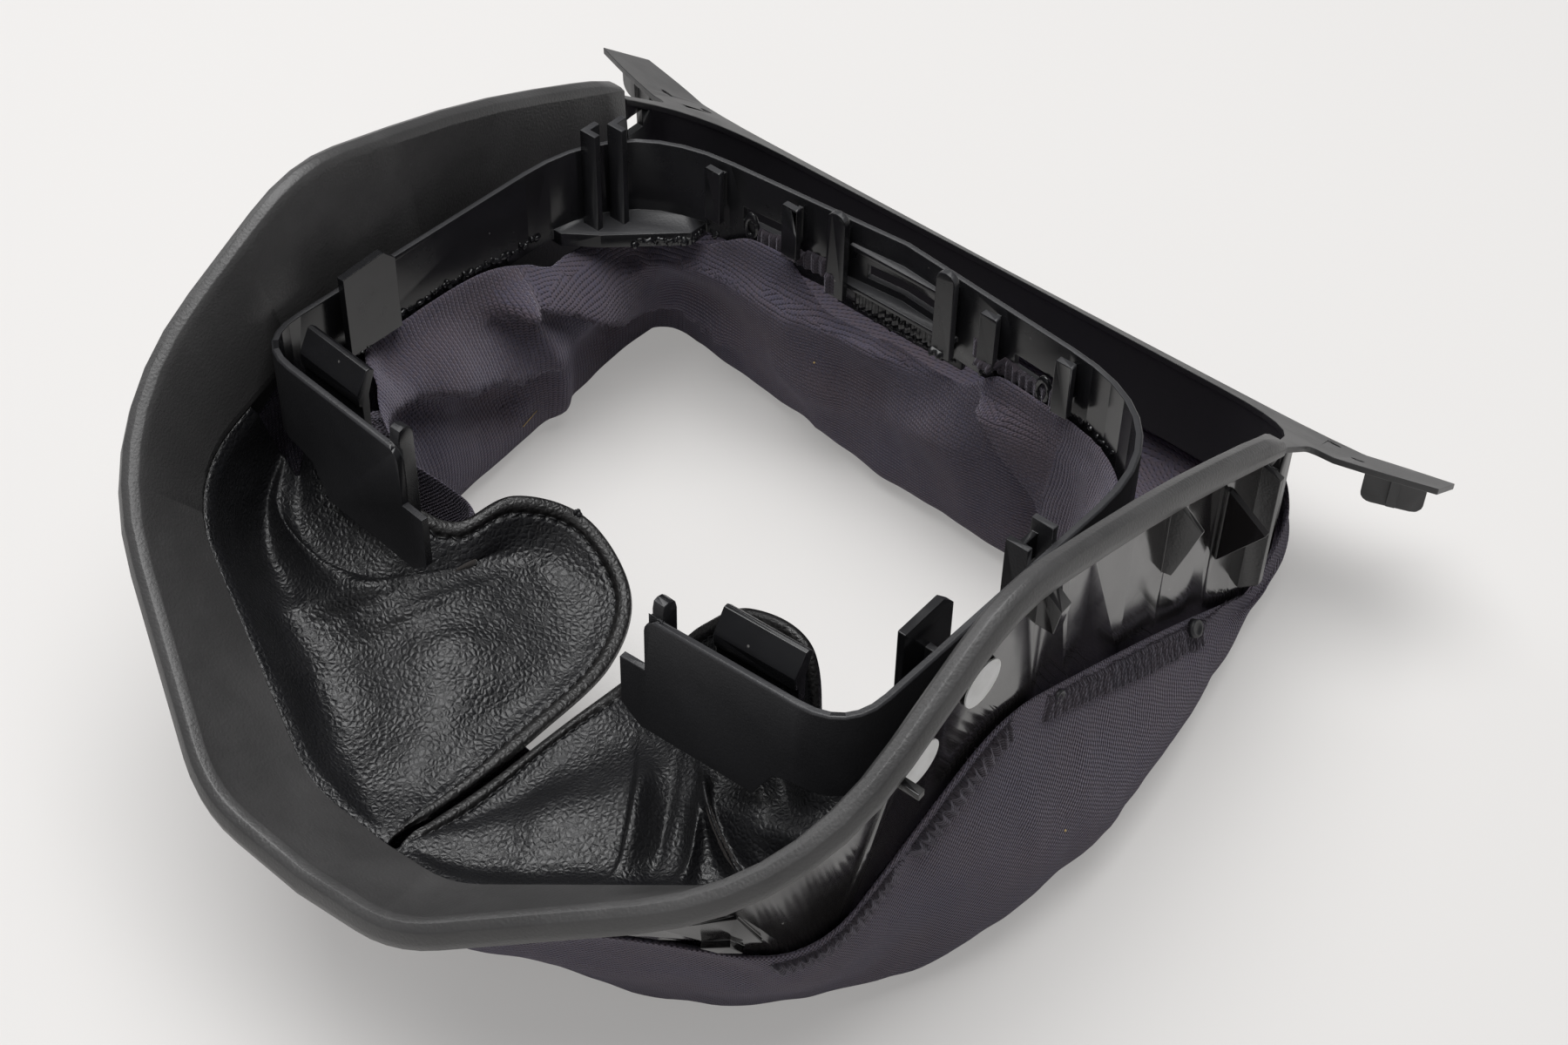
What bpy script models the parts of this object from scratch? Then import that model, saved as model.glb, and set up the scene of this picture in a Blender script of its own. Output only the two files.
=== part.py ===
"""Steering column cover: a moulded surround shell, its rear bridge with two fixing ears, the collar that
clips round the column, two leather halves and the knitted sleeve that closes the gap between them.
Metres, +Z up, lying on the sleeve as on a table; X = 0 is the plane of symmetry and +Y runs to the bridge."""

import math

import bmesh
import bpy
import numpy as np
from mathutils import Euler, Matrix, Vector

MM = 0.001

# Rim of the surround, half of it; every corner is (half width, y, height) of the outer edge.
rim_half_width = 112.5 * MM
rim_length = 244.3 * MM
rim_end_y = 96.8 * MM
rim_end_height = 82.0 * MM
rim_bend_y = 38.0 * MM
rim_bend_height = 113.5 * MM
rim_peak_y = -24.5 * MM
rim_peak_height = 136.4 * MM
rim_shoulder_y = -99.4 * MM
rim_shoulder_height = 104.5 * MM
rim_nose_half_width = 31.0 * MM
rim_nose_height = 70.5 * MM
rim_front_height = 65.5 * MM

# Section of the rim bead and of the walls below it.
bead_width = 6.6 * MM
bead_crown = 2.7 * MM
bead_lip = 4.5 * MM
wall = 2.8 * MM
overhang = 3.6 * MM
funnel_depth_front = 27.0 * MM
funnel_drop_front = 15.0 * MM
funnel_drop_shoulder = 20.0 * MM
skirt_end_height = 15.0 * MM
skirt_bend_height = 54.0 * MM
skirt_peak_height = 88.0 * MM
skirt_shoulder_height = 60.0 * MM
skirt_drop_nose = 16.5 * MM
skirt_drop_front = 13.5 * MM
skirt_front_inset = 14.0 * MM
skirt_front_arch = 8.0 * MM

# Gussets and teeth on the outside of the side walls.
gusset_thickness = 1.8 * MM
gusset_reach_rear = 13.0 * MM
gusset_reach_mid = 9.0 * MM
return_reach = 6.5 * MM
tooth_count = 6
tooth_size = 2.2 * MM

# Rear bridge: a sloping flange over a curved wall, with an ear at each end.
joint_gap = 0.5 * MM
bridge_back_y = 137.0 * MM
bridge_corner = 34.0 * MM
bridge_wall = 2.4 * MM
bridge_wall_foot = 16.0 * MM
flange_fall = 0.84
flange_start_height = 78.6 * MM
flange_thickness = 2.4 * MM
ear_half_span = 145.6 * MM
ear_neck = 15.6 * MM
ear_tip_y = 129.0 * MM
ear_back_y = 147.8 * MM
ear_rise = 0.22
foot_length = 17.0 * MM
foot_height = 11.0 * MM
foot_thickness = 3.6 * MM
window_size = 6.4 * MM

# Column collar in its own frame: origin on the top edge's plane, arms towards -Y.
collar_place = (-0.8 * MM, 19.7 * MM, 100.4 * MM)
collar_turn = (-4.7, -2.6, -2.6)
collar_half_width = 99.0 * MM
collar_back_y = 66.5 * MM
collar_front_y = -78.5 * MM
collar_tip_half_gap = 33.5 * MM
collar_wall = 2.0 * MM
collar_depth = 27.0 * MM
collar_arm_depth = 39.0 * MM
collar_arm_length = 42.0 * MM
collar_flare_length = 4.0 * MM
collar_foot_length = 7.5 * MM
collar_foot_height = 21.0 * MM
collar_tip_radius = 5.0 * MM
clip_width = 23.5 * MM
knit_line = -20.0 * MM
clip_centres = (67.0 * MM, 76.0 * MM)
clip_standoff = 6.0 * MM
clip_rise = 4.8 * MM

# Soft parts.
leather_thickness = 1.3 * MM
hem_roll = 1.1 * MM
knit_thickness = 1.6 * MM
touch_gap = 0.4 * MM
lap_gap = 0.8 * MM
sleeve_lap = 5.0 * MM
sleeve_bulge_height = 18.0 * MM
sleeve_floor_inset = 13.0 * MM
passage_half_width = 87.0 * MM
passage_back_y = 77.0 * MM
passage_front_y = -62.0 * MM
dot_radius = 6.5 * MM
dot_thickness = 0.4 * MM


def clear_scene():
    for item in list(bpy.data.objects):
        bpy.data.objects.remove(item, do_unlink=True)


def material(name, colour, roughness, metallic=0.0):
    made = bpy.data.materials.new(name)
    made.use_nodes = True
    shader = made.node_tree.nodes["Principled BSDF"]
    shader.inputs["Base Color"].default_value = (*colour, 1.0)
    shader.inputs["Roughness"].default_value = roughness
    shader.inputs["Metallic"].default_value = metallic
    return made


def smoothstep(value):
    value = min(1.0, max(0.0, value))
    return value * value * (3.0 - 2.0 * value)


def rounded_path(corners, legs, arcs):
    """Points along corner points (position, reach): straight legs joined by quadratic rounds."""
    points = [Vector(corners[0][0])]
    start = Vector(corners[0][0])
    for index in range(1, len(corners)):
        corner, reach = Vector(corners[index][0]), corners[index][1]
        inward = (start - corner).normalized()
        if index == len(corners) - 1:
            first = corner
        else:
            first = corner + inward * reach
        for step in range(1, legs[index - 1] + 1):
            points.append(start.lerp(first, step / legs[index - 1]))
        if index == len(corners) - 1:
            break
        following = Vector(corners[index + 1][0])
        last = corner + (following - corner).normalized() * reach
        for step in range(1, arcs[index - 1] + 1):
            t = step / arcs[index - 1]
            points.append(first * (1 - t) ** 2 + corner * (2 * t * (1 - t)) + last * t ** 2)
        start = last
    return points


def mirrored(half):
    """A whole path from the right-hand half, which ends on the plane of symmetry."""
    return half + [Vector((-p.x, p.y, p.z)) for p in reversed(half[:-1])]


def plan_normals(path, closed=False):
    """Horizontal unit normals that point out of a path running clockwise from its right-hand end."""
    normals = []
    count = len(path)
    for index in range(count):
        before = path[index - 1] if closed or index else path[index]
        after = path[(index + 1) % count] if closed or index < count - 1 else path[index]
        along = Vector((after.x - before.x, after.y - before.y, 0.0)).normalized()
        normals.append(Vector((-along.y, along.x, 0.0)))
    return normals


def object_from(name, bm, finish):
    bmesh.ops.recalc_face_normals(bm, faces=bm.faces)
    mesh = bpy.data.meshes.new(name)
    bm.to_mesh(mesh)
    bm.free()
    made = bpy.data.objects.new(name, mesh)
    bpy.context.scene.collection.objects.link(made)
    if finish:
        mesh.materials.append(finish)
    return made


def loft(name, rings, finish, closed_path=False):
    """A closed body through rings of points, all with the same count."""
    bm = bmesh.new()
    rows = [[bm.verts.new(point) for point in ring] for ring in rings]
    size = len(rows[0])
    pairs = len(rows) if closed_path else len(rows) - 1
    for row in range(pairs):
        one, two = rows[row], rows[(row + 1) % len(rows)]
        for index in range(size):
            following = (index + 1) % size
            bm.faces.new((one[index], one[following], two[following], two[index]))
    if not closed_path:
        bm.faces.new(rows[0])
        bm.faces.new(rows[-1])
        bmesh.ops.triangulate(bm, faces=[f for f in bm.faces if len(f.verts) > 4])
    return object_from(name, bm, finish)


def prism(name, outline, depth_vector):
    """A closed prism from a planar outline of 3-D points, pushed along a vector."""
    bm = bmesh.new()
    base = [bm.verts.new(point) for point in outline]
    face = bm.faces.new(base)
    pushed = bmesh.ops.extrude_face_region(bm, geom=[face])
    moved = [item for item in pushed["geom"] if isinstance(item, bmesh.types.BMVert)]
    bmesh.ops.translate(bm, verts=moved, vec=depth_vector)
    return object_from(name, bm, None)


def baked(target):
    """Give an object the mesh that its modifiers make, in place."""
    bpy.context.view_layer.update()
    graph = bpy.context.evaluated_depsgraph_get()
    mesh = bpy.data.meshes.new_from_object(target.evaluated_get(graph))
    target.modifiers.clear()
    target.data = mesh
    return target


def combine(target, tools, operation="UNION"):
    """Join tools to a body or cut them from it, one by one."""
    for tool in tools:
        step = target.modifiers.new("combine", "BOOLEAN")
        step.operation = operation
        step.solver = "EXACT"
        step.object = tool
        baked(target)
        bpy.data.objects.remove(tool, do_unlink=True)
    return target


def shade(target, angle=35.0):
    target.data.shade_smooth()
    target.data.set_sharp_from_angle(angle=math.radians(angle))
    return target


# Paths that several pieces share.
rim_leg_steps = (4, 3, 3, 5, 3)
rim_arc_steps = (3, 4, 7, 5)


def guide(corners):
    """The whole of one of the surround's guide curves, from the right rear end to the left one."""
    return mirrored(rounded_path(corners, rim_leg_steps, rim_arc_steps))


def rim_guide():
    front_y = rim_end_y - rim_length
    return guide([
        ((rim_half_width + 2.0 * MM, rim_end_y, rim_end_height), 0.0),
        ((rim_half_width + 1.5 * MM, rim_bend_y, rim_bend_height), 30.0 * MM),
        ((rim_half_width - 0.2 * MM, rim_peak_y, rim_peak_height), 16.0 * MM),
        ((rim_half_width - 1.0 * MM, rim_shoulder_y, rim_shoulder_height), 40.0 * MM),
        ((rim_nose_half_width, front_y, rim_nose_height), 12.0 * MM),
        ((0.0, front_y, rim_front_height), 0.0),
    ])


def skirt_guide():
    front_y = rim_end_y - rim_length
    path = guide([
        ((rim_half_width + 2.0 * MM - overhang, rim_end_y, skirt_end_height), 0.0),
        ((rim_half_width + 1.5 * MM - overhang, rim_bend_y, skirt_bend_height), 30.0 * MM),
        ((rim_half_width - 0.2 * MM - overhang, rim_peak_y, skirt_peak_height), 16.0 * MM),
        ((rim_half_width - 8.0 * MM, rim_shoulder_y + 11.0 * MM, skirt_shoulder_height), 14.0 * MM),
        ((rim_nose_half_width - 6.0 * MM, front_y + skirt_front_inset, rim_nose_height - skirt_drop_nose), 10.0 * MM),
        ((0.0, front_y + skirt_front_inset, rim_front_height - skirt_drop_front), 0.0),
    ])
    near, far = rim_nose_half_width - 6.0 * MM, rim_half_width - 12.0 * MM
    for point in path:
        share = (abs(point.x) - near) / (far - near)
        if point.y < rim_shoulder_y + 11.0 * MM and 0.0 < share < 1.0:
            point.z += skirt_front_arch * math.sin(math.pi * share)
    return path


def funnel_guide():
    """The lower edge of the inner face, where the leather starts."""
    front_y = rim_end_y - rim_length
    return guide([
        ((rim_half_width + 2.0 * MM - overhang - wall, rim_end_y, skirt_end_height), 0.0),
        ((rim_half_width + 1.5 * MM - overhang - wall, rim_bend_y, skirt_bend_height), 30.0 * MM),
        ((rim_half_width - 0.2 * MM - overhang - wall, rim_peak_y, skirt_peak_height + 2.0 * MM), 16.0 * MM),
        ((rim_half_width - 16.0 * MM, rim_shoulder_y + 12.0 * MM,
          rim_shoulder_height - funnel_drop_shoulder), 22.0 * MM),
        ((rim_nose_half_width - 8.0 * MM, front_y + funnel_depth_front - 1.0 * MM,
          rim_nose_height - funnel_drop_front), 9.0 * MM),
        ((0.0, front_y + funnel_depth_front, rim_front_height - funnel_drop_front), 0.0),
    ])


def make_shell(finish):
    rim, skirt, funnel = rim_guide(), skirt_guide(), funnel_guide()
    normals = plan_normals(rim)
    up = Vector((0.0, 0.0, 1.0))
    rings = []
    last = len(rim) - 1
    for index, point in enumerate(rim):
        out = normals[index]
        end_taper = smoothstep(min(index, last - index) / 2.0 + 0.25)
        crown = bead_crown * end_taper
        inner_root = funnel[index] - up * wall * 0.8
        spread = (skirt[index] - funnel[index]).length
        fork = max(0.0, min(1.0, (spread - 1.6 * wall) / (3.0 * wall)))
        deep = point.lerp((skirt[index] + funnel[index]) * 0.5, 0.93)
        shallow = point - out * (bead_width * 0.95) - up * (bead_lip + 4.5 * MM)
        crotch = deep.lerp(shallow, fork)
        inner_foot = (funnel[index] + (skirt[index] - funnel[index]) * 0.42).lerp(inner_root, fork)
        skirt_inner = (skirt[index] + (funnel[index] - skirt[index]) * 0.42).lerp(
            skirt[index] - out * wall * 0.8, fork)
        rings.append([
            point - up * bead_lip,
            point + out * 0.3 * MM - up * 1.4 * MM,
            point - out * 0.9 * MM + up * crown * 0.6,
            point - out * bead_width * 0.45 + up * crown,
            point - out * bead_width * 0.8 + up * crown * 0.7,
            point - out * bead_width - up * 0.4 * MM,
            funnel[index],
            inner_foot,
            crotch,
            skirt_inner,
            skirt[index],
            point - out * overhang - up * (bead_lip + 1.0 * MM),
            point - out * 1.6 * MM - up * (bead_lip + 0.8 * MM),
        ])
    return loft("surround_shell", rings, finish)


def side_wall_x(y):
    """Half width of the outer face of the side wall at a place along it."""
    return rim_half_width + 1.2 * MM - overhang if y > 0.0 else rim_half_width - overhang


def rim_height(y):
    """Height of the rim's outer edge on the side, at a place along it."""
    marks = [rim_shoulder_y, rim_peak_y, rim_bend_y, rim_end_y]
    heights = [rim_shoulder_height, rim_peak_height, rim_bend_height, rim_end_height]
    return float(np.interp(y, marks, heights))


def skirt_height(y):
    """Height of the lower edge of the side wall, at a place along it."""
    marks = [rim_shoulder_y, rim_peak_y, rim_bend_y, rim_end_y]
    heights = [skirt_shoulder_height, skirt_peak_height, skirt_bend_height, skirt_end_height]
    return float(np.interp(y, marks, heights))


def side_gusset(side, y, outline, thickness):
    """An upright plate on the side wall; its outline is (distance out from the wall, height)."""
    root = side_wall_x(y) - 0.5 * wall
    points = [Vector((side * (root + out), y - thickness / 2, height)) for out, height in outline]
    return prism("gusset", points, Vector((0.0, thickness, 0.0)))


def shoulder_step(side, first, last, low, high, lift):
    """A raised step on the outer wall by the front crease, between two stations and two shares of height."""
    rim, skirt = rim_guide(), skirt_guide()
    normals = plan_normals(rim)
    up = Vector((0.0, 0.0, 1.0))
    rings = []
    for index in (first, last):
        spot = index if side > 0 else len(rim) - 1 - index
        out = normals[spot]
        wall_top = rim[spot] - out * overhang - up * (bead_lip + 1.0 * MM)
        foot = skirt[spot].lerp(wall_top, low)
        head = skirt[spot].lerp(wall_top, high)
        bite = out * lift * 0.5
        rings.append([foot - bite, head - bite, head + out * lift, foot + out * lift])
    return loft("step", rings, None)


def shell_details():
    tools = []
    for side in (1, -1):
        tools.append(shoulder_step(side, 22, 25, 0.36, 0.80, 1.2 * MM))
        tools.append(shoulder_step(side, 23, 24, 0.28, 0.44, 2.2 * MM))
    bite = 0.5 * wall
    for side in (1, -1):
        mid_y, rear_y, front_y = 46.0 * MM, 76.0 * MM, -10.0 * MM
        top = rim_height(mid_y) - bead_lip
        tools.append(side_gusset(side, mid_y, [
            (0.0, top), (bite + 1.0 * MM, top), (bite + gusset_reach_mid, top - 7.0 * MM),
            (bite + 3.0 * MM, top - 27.0 * MM), (0.0, top - 28.0 * MM)], gusset_thickness))
        top = rim_height(rear_y) - bead_lip - 8.0 * MM
        tools.append(side_gusset(side, rear_y, [
            (0.0, top), (bite + 1.0 * MM, top), (bite + gusset_reach_rear, top - 9.0 * MM),
            (bite + 1.0 * MM, top - 27.0 * MM), (0.0, top - 27.0 * MM)], gusset_thickness))
        top = rim_height(front_y) - bead_lip - 1.0 * MM
        tools.append(side_gusset(side, front_y, [
            (0.0, top), (bite + 2.0 * MM, top), (bite + 6.5 * MM, top - 4.0 * MM),
            (bite + 5.0 * MM, top - 13.0 * MM), (0.0, top - 13.0 * MM)], 4.0 * MM))
        pin_y = -63.0 * MM
        top = rim_height(pin_y) - bead_lip - 6.0 * MM
        tools.append(side_gusset(side, pin_y, [
            (0.0, top), (bite + 6.0 * MM, top), (bite + 6.0 * MM, top - 2.2 * MM), (0.0, top - 2.2 * MM)],
            2.2 * MM))
        return_y = rim_end_y - 3.0 * MM
        top = rim_end_height - bead_lip - 2.0 * MM
        low = skirt_end_height + 2.0 * sleeve_lap
        tools.append(side_gusset(side, return_y, [
            (0.0, top), (bite + return_reach, top - 3.0 * MM), (bite + return_reach, low + 5.0 * MM),
            (bite + 1.5 * MM, low), (0.0, low)], 2.0 * MM))
        for number in range(tooth_count):
            tooth_y = (-6.0 + 14.0 * number) * MM
            top = rim_height(tooth_y) - bead_lip - 2.0 * MM
            tools.append(side_gusset(side, tooth_y + 5.0 * MM, [
                (0.0, top), (bite + tooth_size, top), (bite, top - 1.6 * tooth_size),
                (0.0, top - 1.6 * tooth_size)], tooth_size))
    return tools


def bridge_half_wall():
    """Outer face of the bridge wall in plan, from the joint to the middle."""
    outer_x = rim_half_width + 2.0 * MM - overhang
    return rounded_path([
        ((outer_x, rim_end_y + joint_gap, 0.0), 0.0),
        ((outer_x, bridge_back_y - 2.5 * MM, 0.0), bridge_corner),
        ((0.0, bridge_back_y, 0.0), 0.0)], (2, 5), (7,))


def flange_height(x, y):
    rise = ear_rise * max(0.0, abs(x) - rim_half_width - 6.0 * MM)
    return flange_start_height - flange_fall * (y - rim_end_y) + rise


def make_bridge(finish):
    half = bridge_half_wall()
    path = mirrored(half)
    normals = [-normal for normal in plan_normals(path)]
    rings = []
    for point, out in zip(path, normals):
        inner = point - out * bridge_wall
        top_outer = flange_height(point.x, point.y) - 0.5 * MM
        top_inner = flange_height(inner.x, inner.y) - 0.5 * MM
        rings.append([
            Vector((point.x, point.y, top_outer)),
            Vector((inner.x, inner.y, top_inner)),
            Vector((inner.x, inner.y, bridge_wall_foot)),
            Vector((point.x, point.y, bridge_wall_foot)),
        ])
    bridge = loft("back_bridge", rings, finish)
    inner_lip = [point - out * (bridge_wall + 0.6 * MM) for point, out in zip(path, normals)]
    edge_x = rim_half_width + 2.0 * MM - overhang + 0.8 * MM
    ear_front = rounded_path([
        ((edge_x, rim_end_y + joint_gap, 0.0), 0.0),
        ((edge_x, 119.0 * MM, 0.0), 3.0 * MM),
        ((ear_half_span - ear_neck, ear_tip_y - 6.0 * MM, 0.0), 0.5 * ear_neck),
        ((ear_half_span, ear_tip_y, 0.0), 0.0)], (2, 2, 2), (4, 3))
    ear_back = rounded_path([
        ((ear_half_span - 2.0 * MM, ear_back_y, 0.0), 0.0),
        ((ear_half_span - ear_neck - 2.0 * MM, ear_back_y - 1.5 * MM, 0.0), 0.5 * ear_neck),
        ((rim_half_width - 8.5 * MM, bridge_back_y + 3.0 * MM, 0.0), 14.0 * MM),
        ((0.0, bridge_back_y + 0.6 * MM, 0.0), 0.0)], (2, 2, 4), (3, 3))
    outer_right = ear_front + ear_back
    outer = mirrored(outer_right)
    outline = outer + list(reversed(inner_lip))
    bm = bmesh.new()
    lower = [bm.verts.new((p.x, p.y, flange_height(p.x, p.y) - flange_thickness)) for p in outline]
    upper = [bm.verts.new((p.x, p.y, flange_height(p.x, p.y))) for p in outline]
    bm.faces.new(upper)
    bm.faces.new(list(reversed(lower)))
    for index in range(len(outline)):
        following = (index + 1) % len(outline)
        bm.faces.new((lower[index], lower[following], upper[following], upper[index]))
    bmesh.ops.triangulate(bm, faces=[f for f in bm.faces if len(f.verts) > 4])
    plate = object_from("plate", bm, None)
    combine(bridge, [plate])
    feet, cuts = [], []
    for side in (1, -1):
        feet += ear_foot(side)
        cuts += ear_slots(side)
        window_y = rim_end_y + 4.2 * MM
        window_z = flange_start_height - 12.5 * MM
        reach = rim_half_width + 6.0 * MM
        cuts.append(box_tool((side * reach, window_y, window_z), (24.0 * MM, window_size, window_size)))
    combine(bridge, feet)
    combine(bridge, cuts, "DIFFERENCE")
    return bridge


def box_tool(centre, size, turn=None):
    bm = bmesh.new()
    bmesh.ops.create_cube(bm, size=1.0)
    bmesh.ops.scale(bm, vec=size, verts=bm.verts)
    if turn:
        bmesh.ops.rotate(bm, cent=(0, 0, 0), matrix=turn, verts=bm.verts)
    bmesh.ops.translate(bm, vec=centre, verts=bm.verts)
    return object_from("block", bm, None)


def ear_foot(side):
    """The rounded clip foot under an ear and the rib down its middle, both running up into the flange."""
    centre = Vector((ear_half_span - 12.6 * MM, ear_tip_y + 2.5 * MM, 0.0))
    along = Vector((0.94, 0.34, 0.0)).normalized()
    across = Vector((-along.y, along.x, 0.0))
    low = flange_height(centre.x, centre.y) - 0.9 * MM - foot_height
    radius = 3.2 * MM
    half = foot_length / 2
    bottom = []
    for centre_u, start in ((half - radius, 0.0), (-half + radius, -90.0)):
        for step in range(5):
            angle = math.radians(start - step * 22.5)
            bottom.append((centre_u + radius * math.cos(angle), low + radius + radius * math.sin(angle)))
    bodies = []
    rib = [(1.3 * MM, low + 1.2 * MM), (-1.3 * MM, low + 1.2 * MM)]
    for outline, depth in ((bottom, foot_thickness), (rib, foot_thickness + 2.4 * MM)):
        rings = []
        for shift in (-depth / 2, depth / 2):
            ring = []
            for u, v in [(outline[-1][0], None), (outline[0][0], None)] + outline:
                place = centre + along * u + across * shift
                height = flange_height(place.x, place.y) - 1.1 * MM if v is None else v
                ring.append(Vector((side * place.x, place.y, height)))
            rings.append(ring)
        bodies.append(loft("foot", rings, None))
    return bodies


def ear_slots(side):
    """Two small oval slots through the flange at the root of the ear."""
    tools = []
    for x, y in ((rim_half_width + 9.0 * MM, ear_tip_y + 1.5 * MM), (rim_half_width - 1.0 * MM, bridge_back_y)):
        bm = bmesh.new()
        bmesh.ops.create_cone(bm, cap_ends=True, segments=10, radius1=1.0 * MM, radius2=1.0 * MM,
                              depth=16.0 * MM)
        bmesh.ops.scale(bm, vec=(2.0, 1.0, 1.0), verts=bm.verts)
        bmesh.ops.translate(bm, vec=(side * x, y, flange_height(x, y)), verts=bm.verts)
        tools.append(object_from("slot", bm, None))
    return tools


def collar_matrix():
    turn = Euler([math.radians(angle) for angle in collar_turn], "XYZ").to_matrix().to_4x4()
    return Matrix.Translation(collar_place) @ turn


def collar_half():
    """Outer face of the collar in plan, from the arm's tip to the middle of the back."""
    return rounded_path([
        ((collar_tip_half_gap, collar_front_y - 3.5 * MM, 0.0), 0.0),
        ((collar_half_width, collar_front_y + 1.0 * MM, 0.0), 15.0 * MM),
        ((collar_half_width - 1.0 * MM, collar_back_y - 8.5 * MM, 0.0), 40.0 * MM),
        ((0.0, collar_back_y, 0.0), 0.0)], (9, 5, 8), (6, 9))


def back_wall(x):
    """Place along Y of the outer face of the collar's back wall, at a distance from the middle."""
    half = [point for point in collar_half() if point.y > 0.0][::-1]
    return float(np.interp(abs(x), [point.x for point in half], [point.y for point in half]))


def collar_path():
    """The whole collar, from the right arm's tip round the back to the left one."""
    half = collar_half()
    return half + [Vector((-p.x, p.y, p.z)) for p in reversed(half[:-1])]


def run_lengths(path):
    lengths = [0.0]
    for one, two in zip(path, path[1:]):
        lengths.append(lengths[-1] + (two - one).length)
    return lengths


def collar_drop(run, total):
    """Height of the collar's lower edge below its top edge, a given run from the nearer tip."""
    near = min(run, total - run)
    blend = smoothstep((near - collar_arm_length) / collar_flare_length)
    return collar_arm_depth + (collar_depth - collar_arm_depth) * blend


def collar_normals(path):
    return [-normal for normal in plan_normals(path)]


def make_collar(finish):
    path = collar_path()
    runs = run_lengths(path)
    outs = collar_normals(path)
    up = Vector((0.0, 0.0, 1.0))
    rings = []
    for point, out, run in zip(path, outs, runs):
        near = min(run, runs[-1] - run)
        short = max(0.0, collar_tip_radius - near)
        cut = collar_tip_radius - math.sqrt(max(0.0, collar_tip_radius ** 2 - short ** 2))
        top = 0.0
        low = -collar_drop(run, runs[-1]) + cut
        inner = point - out * collar_wall
        rings.append([
            point + up * (top - 0.5 * MM),
            point - out * 0.5 * MM + up * top,
            inner + up * top,
            inner + up * low,
            point + up * low,
        ])
    collar = loft("column_collar", rings, finish)
    combine(collar, collar_details())
    combine(collar, collar_cuts(), "DIFFERENCE")
    collar.matrix_world = collar_matrix()
    return collar


def back_tab(x, width, low, high, rounded=True):
    """An upright tab just inside the collar's back wall."""
    wall_y = back_wall(x) - collar_wall
    near, far = wall_y - 5.2 * MM, wall_y - 3.0 * MM
    radius = width * 0.45 if rounded else 0.6 * MM
    outline = [(x - width / 2, low), (x + width / 2, low)]
    for centre, start in ((x + width / 2 - radius, 0.0), (x - width / 2 + radius, 90.0)):
        for step in range(4):
            angle = math.radians(start + step * 30.0)
            outline.append((centre + radius * math.cos(angle), high - radius + radius * math.sin(angle)))
    points = [Vector((u, near, v)) for u, v in outline]
    tab = prism("tab", points, Vector((0.0, far - near, 0.0)))
    web_low = max(low + 3.0 * MM, knit_line + 1.6 * MM)
    web = box_tool((x, (near + wall_y + 1.0 * MM) / 2, (web_low - 3.0 * MM) / 2),
                   (1.4 * MM, wall_y + 1.0 * MM - near, -web_low - 3.0 * MM))
    return [tab, web]


def arm_face(x):
    """Place along Y of an arm's outer face, at a distance from the middle."""
    slope = 4.5 / (collar_half_width - collar_tip_half_gap) * MM
    return collar_front_y - 3.5 * MM + (x - collar_tip_half_gap) * slope


def snap_hook(side):
    """The wedge-headed hook behind an arm, on a web at the arm's foot."""
    centre_x = clip_centres[0] if side > 0 else clip_centres[1]
    start = centre_x - clip_width / 2
    face = arm_face(start) + collar_wall + clip_standoff
    drift = arm_face(start + clip_width) - arm_face(start)
    low = -collar_depth + 3.0 * MM
    profile = [
        (face, low), (face + 2.0 * MM, low), (face + 2.6 * MM, -3.0 * MM),
        (face + 5.2 * MM, clip_rise - 1.4 * MM), (face + 3.8 * MM, clip_rise),
        (face + 2.6 * MM, clip_rise - 0.2 * MM), (face - 1.0 * MM, -1.5 * MM), (face - 1.0 * MM, -5.0 * MM),
        (face, -5.6 * MM)]
    points = [Vector((side * start, y, z)) for y, z in profile]
    hook = prism("hook", points, Vector((side * clip_width, drift, 0.0)))
    web_start = arm_face(start + clip_width) + 0.6 * MM
    web_end = face + 1.4 * MM
    web = box_tool((side * centre_x, (web_start + web_end) / 2, low + 1.3 * MM),
                   (clip_width - 5.0 * MM, web_end - web_start, 2.0 * MM))
    return [hook, web]


def arm_rib(side):
    """The round-topped rib just inside an arm's tip."""
    x = collar_tip_half_gap + collar_foot_length + 1.0 * MM
    y = arm_face(x) + collar_wall * 0.5
    outline = [(0.0, -30.0 * MM), (5.6 * MM, -30.0 * MM)]
    for step in range(5):
        angle = math.radians(step * 30.0)
        outline.append((2.8 * MM + 2.8 * MM * math.cos(angle), 2.0 * MM + 2.8 * MM * math.sin(angle)))
    outline.append((0.0, -2.0 * MM))
    points = [Vector((side * x, y + u, v)) for u, v in outline]
    return prism("rib", points, Vector((side * 3.4 * MM, 0.0, 0.0)))


def tip_cut(side):
    """Takes the top of an arm's tip away, so that only a foot is left at the bottom of it."""
    x, y = collar_tip_half_gap, arm_face(collar_tip_half_gap)
    radius = collar_tip_radius
    corner = collar_foot_length + radius
    outline = [(-3.0 * MM, 8.0 * MM), (corner, 8.0 * MM)]
    for step in range(6):
        angle = math.radians(90.0 + step * 18.0)
        outline.append((corner + radius * math.cos(angle), 0.4 * MM - radius + radius * math.sin(angle)))
    outline += [(collar_foot_length, -collar_arm_depth + collar_foot_height),
                (-3.0 * MM, -collar_arm_depth + collar_foot_height)]
    points = [Vector((side * (x + u), y - 4.0 * MM, v)) for u, v in outline]
    return prism("tip", points, Vector((0.0, 4.5 * MM + collar_wall, 0.0)))


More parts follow.
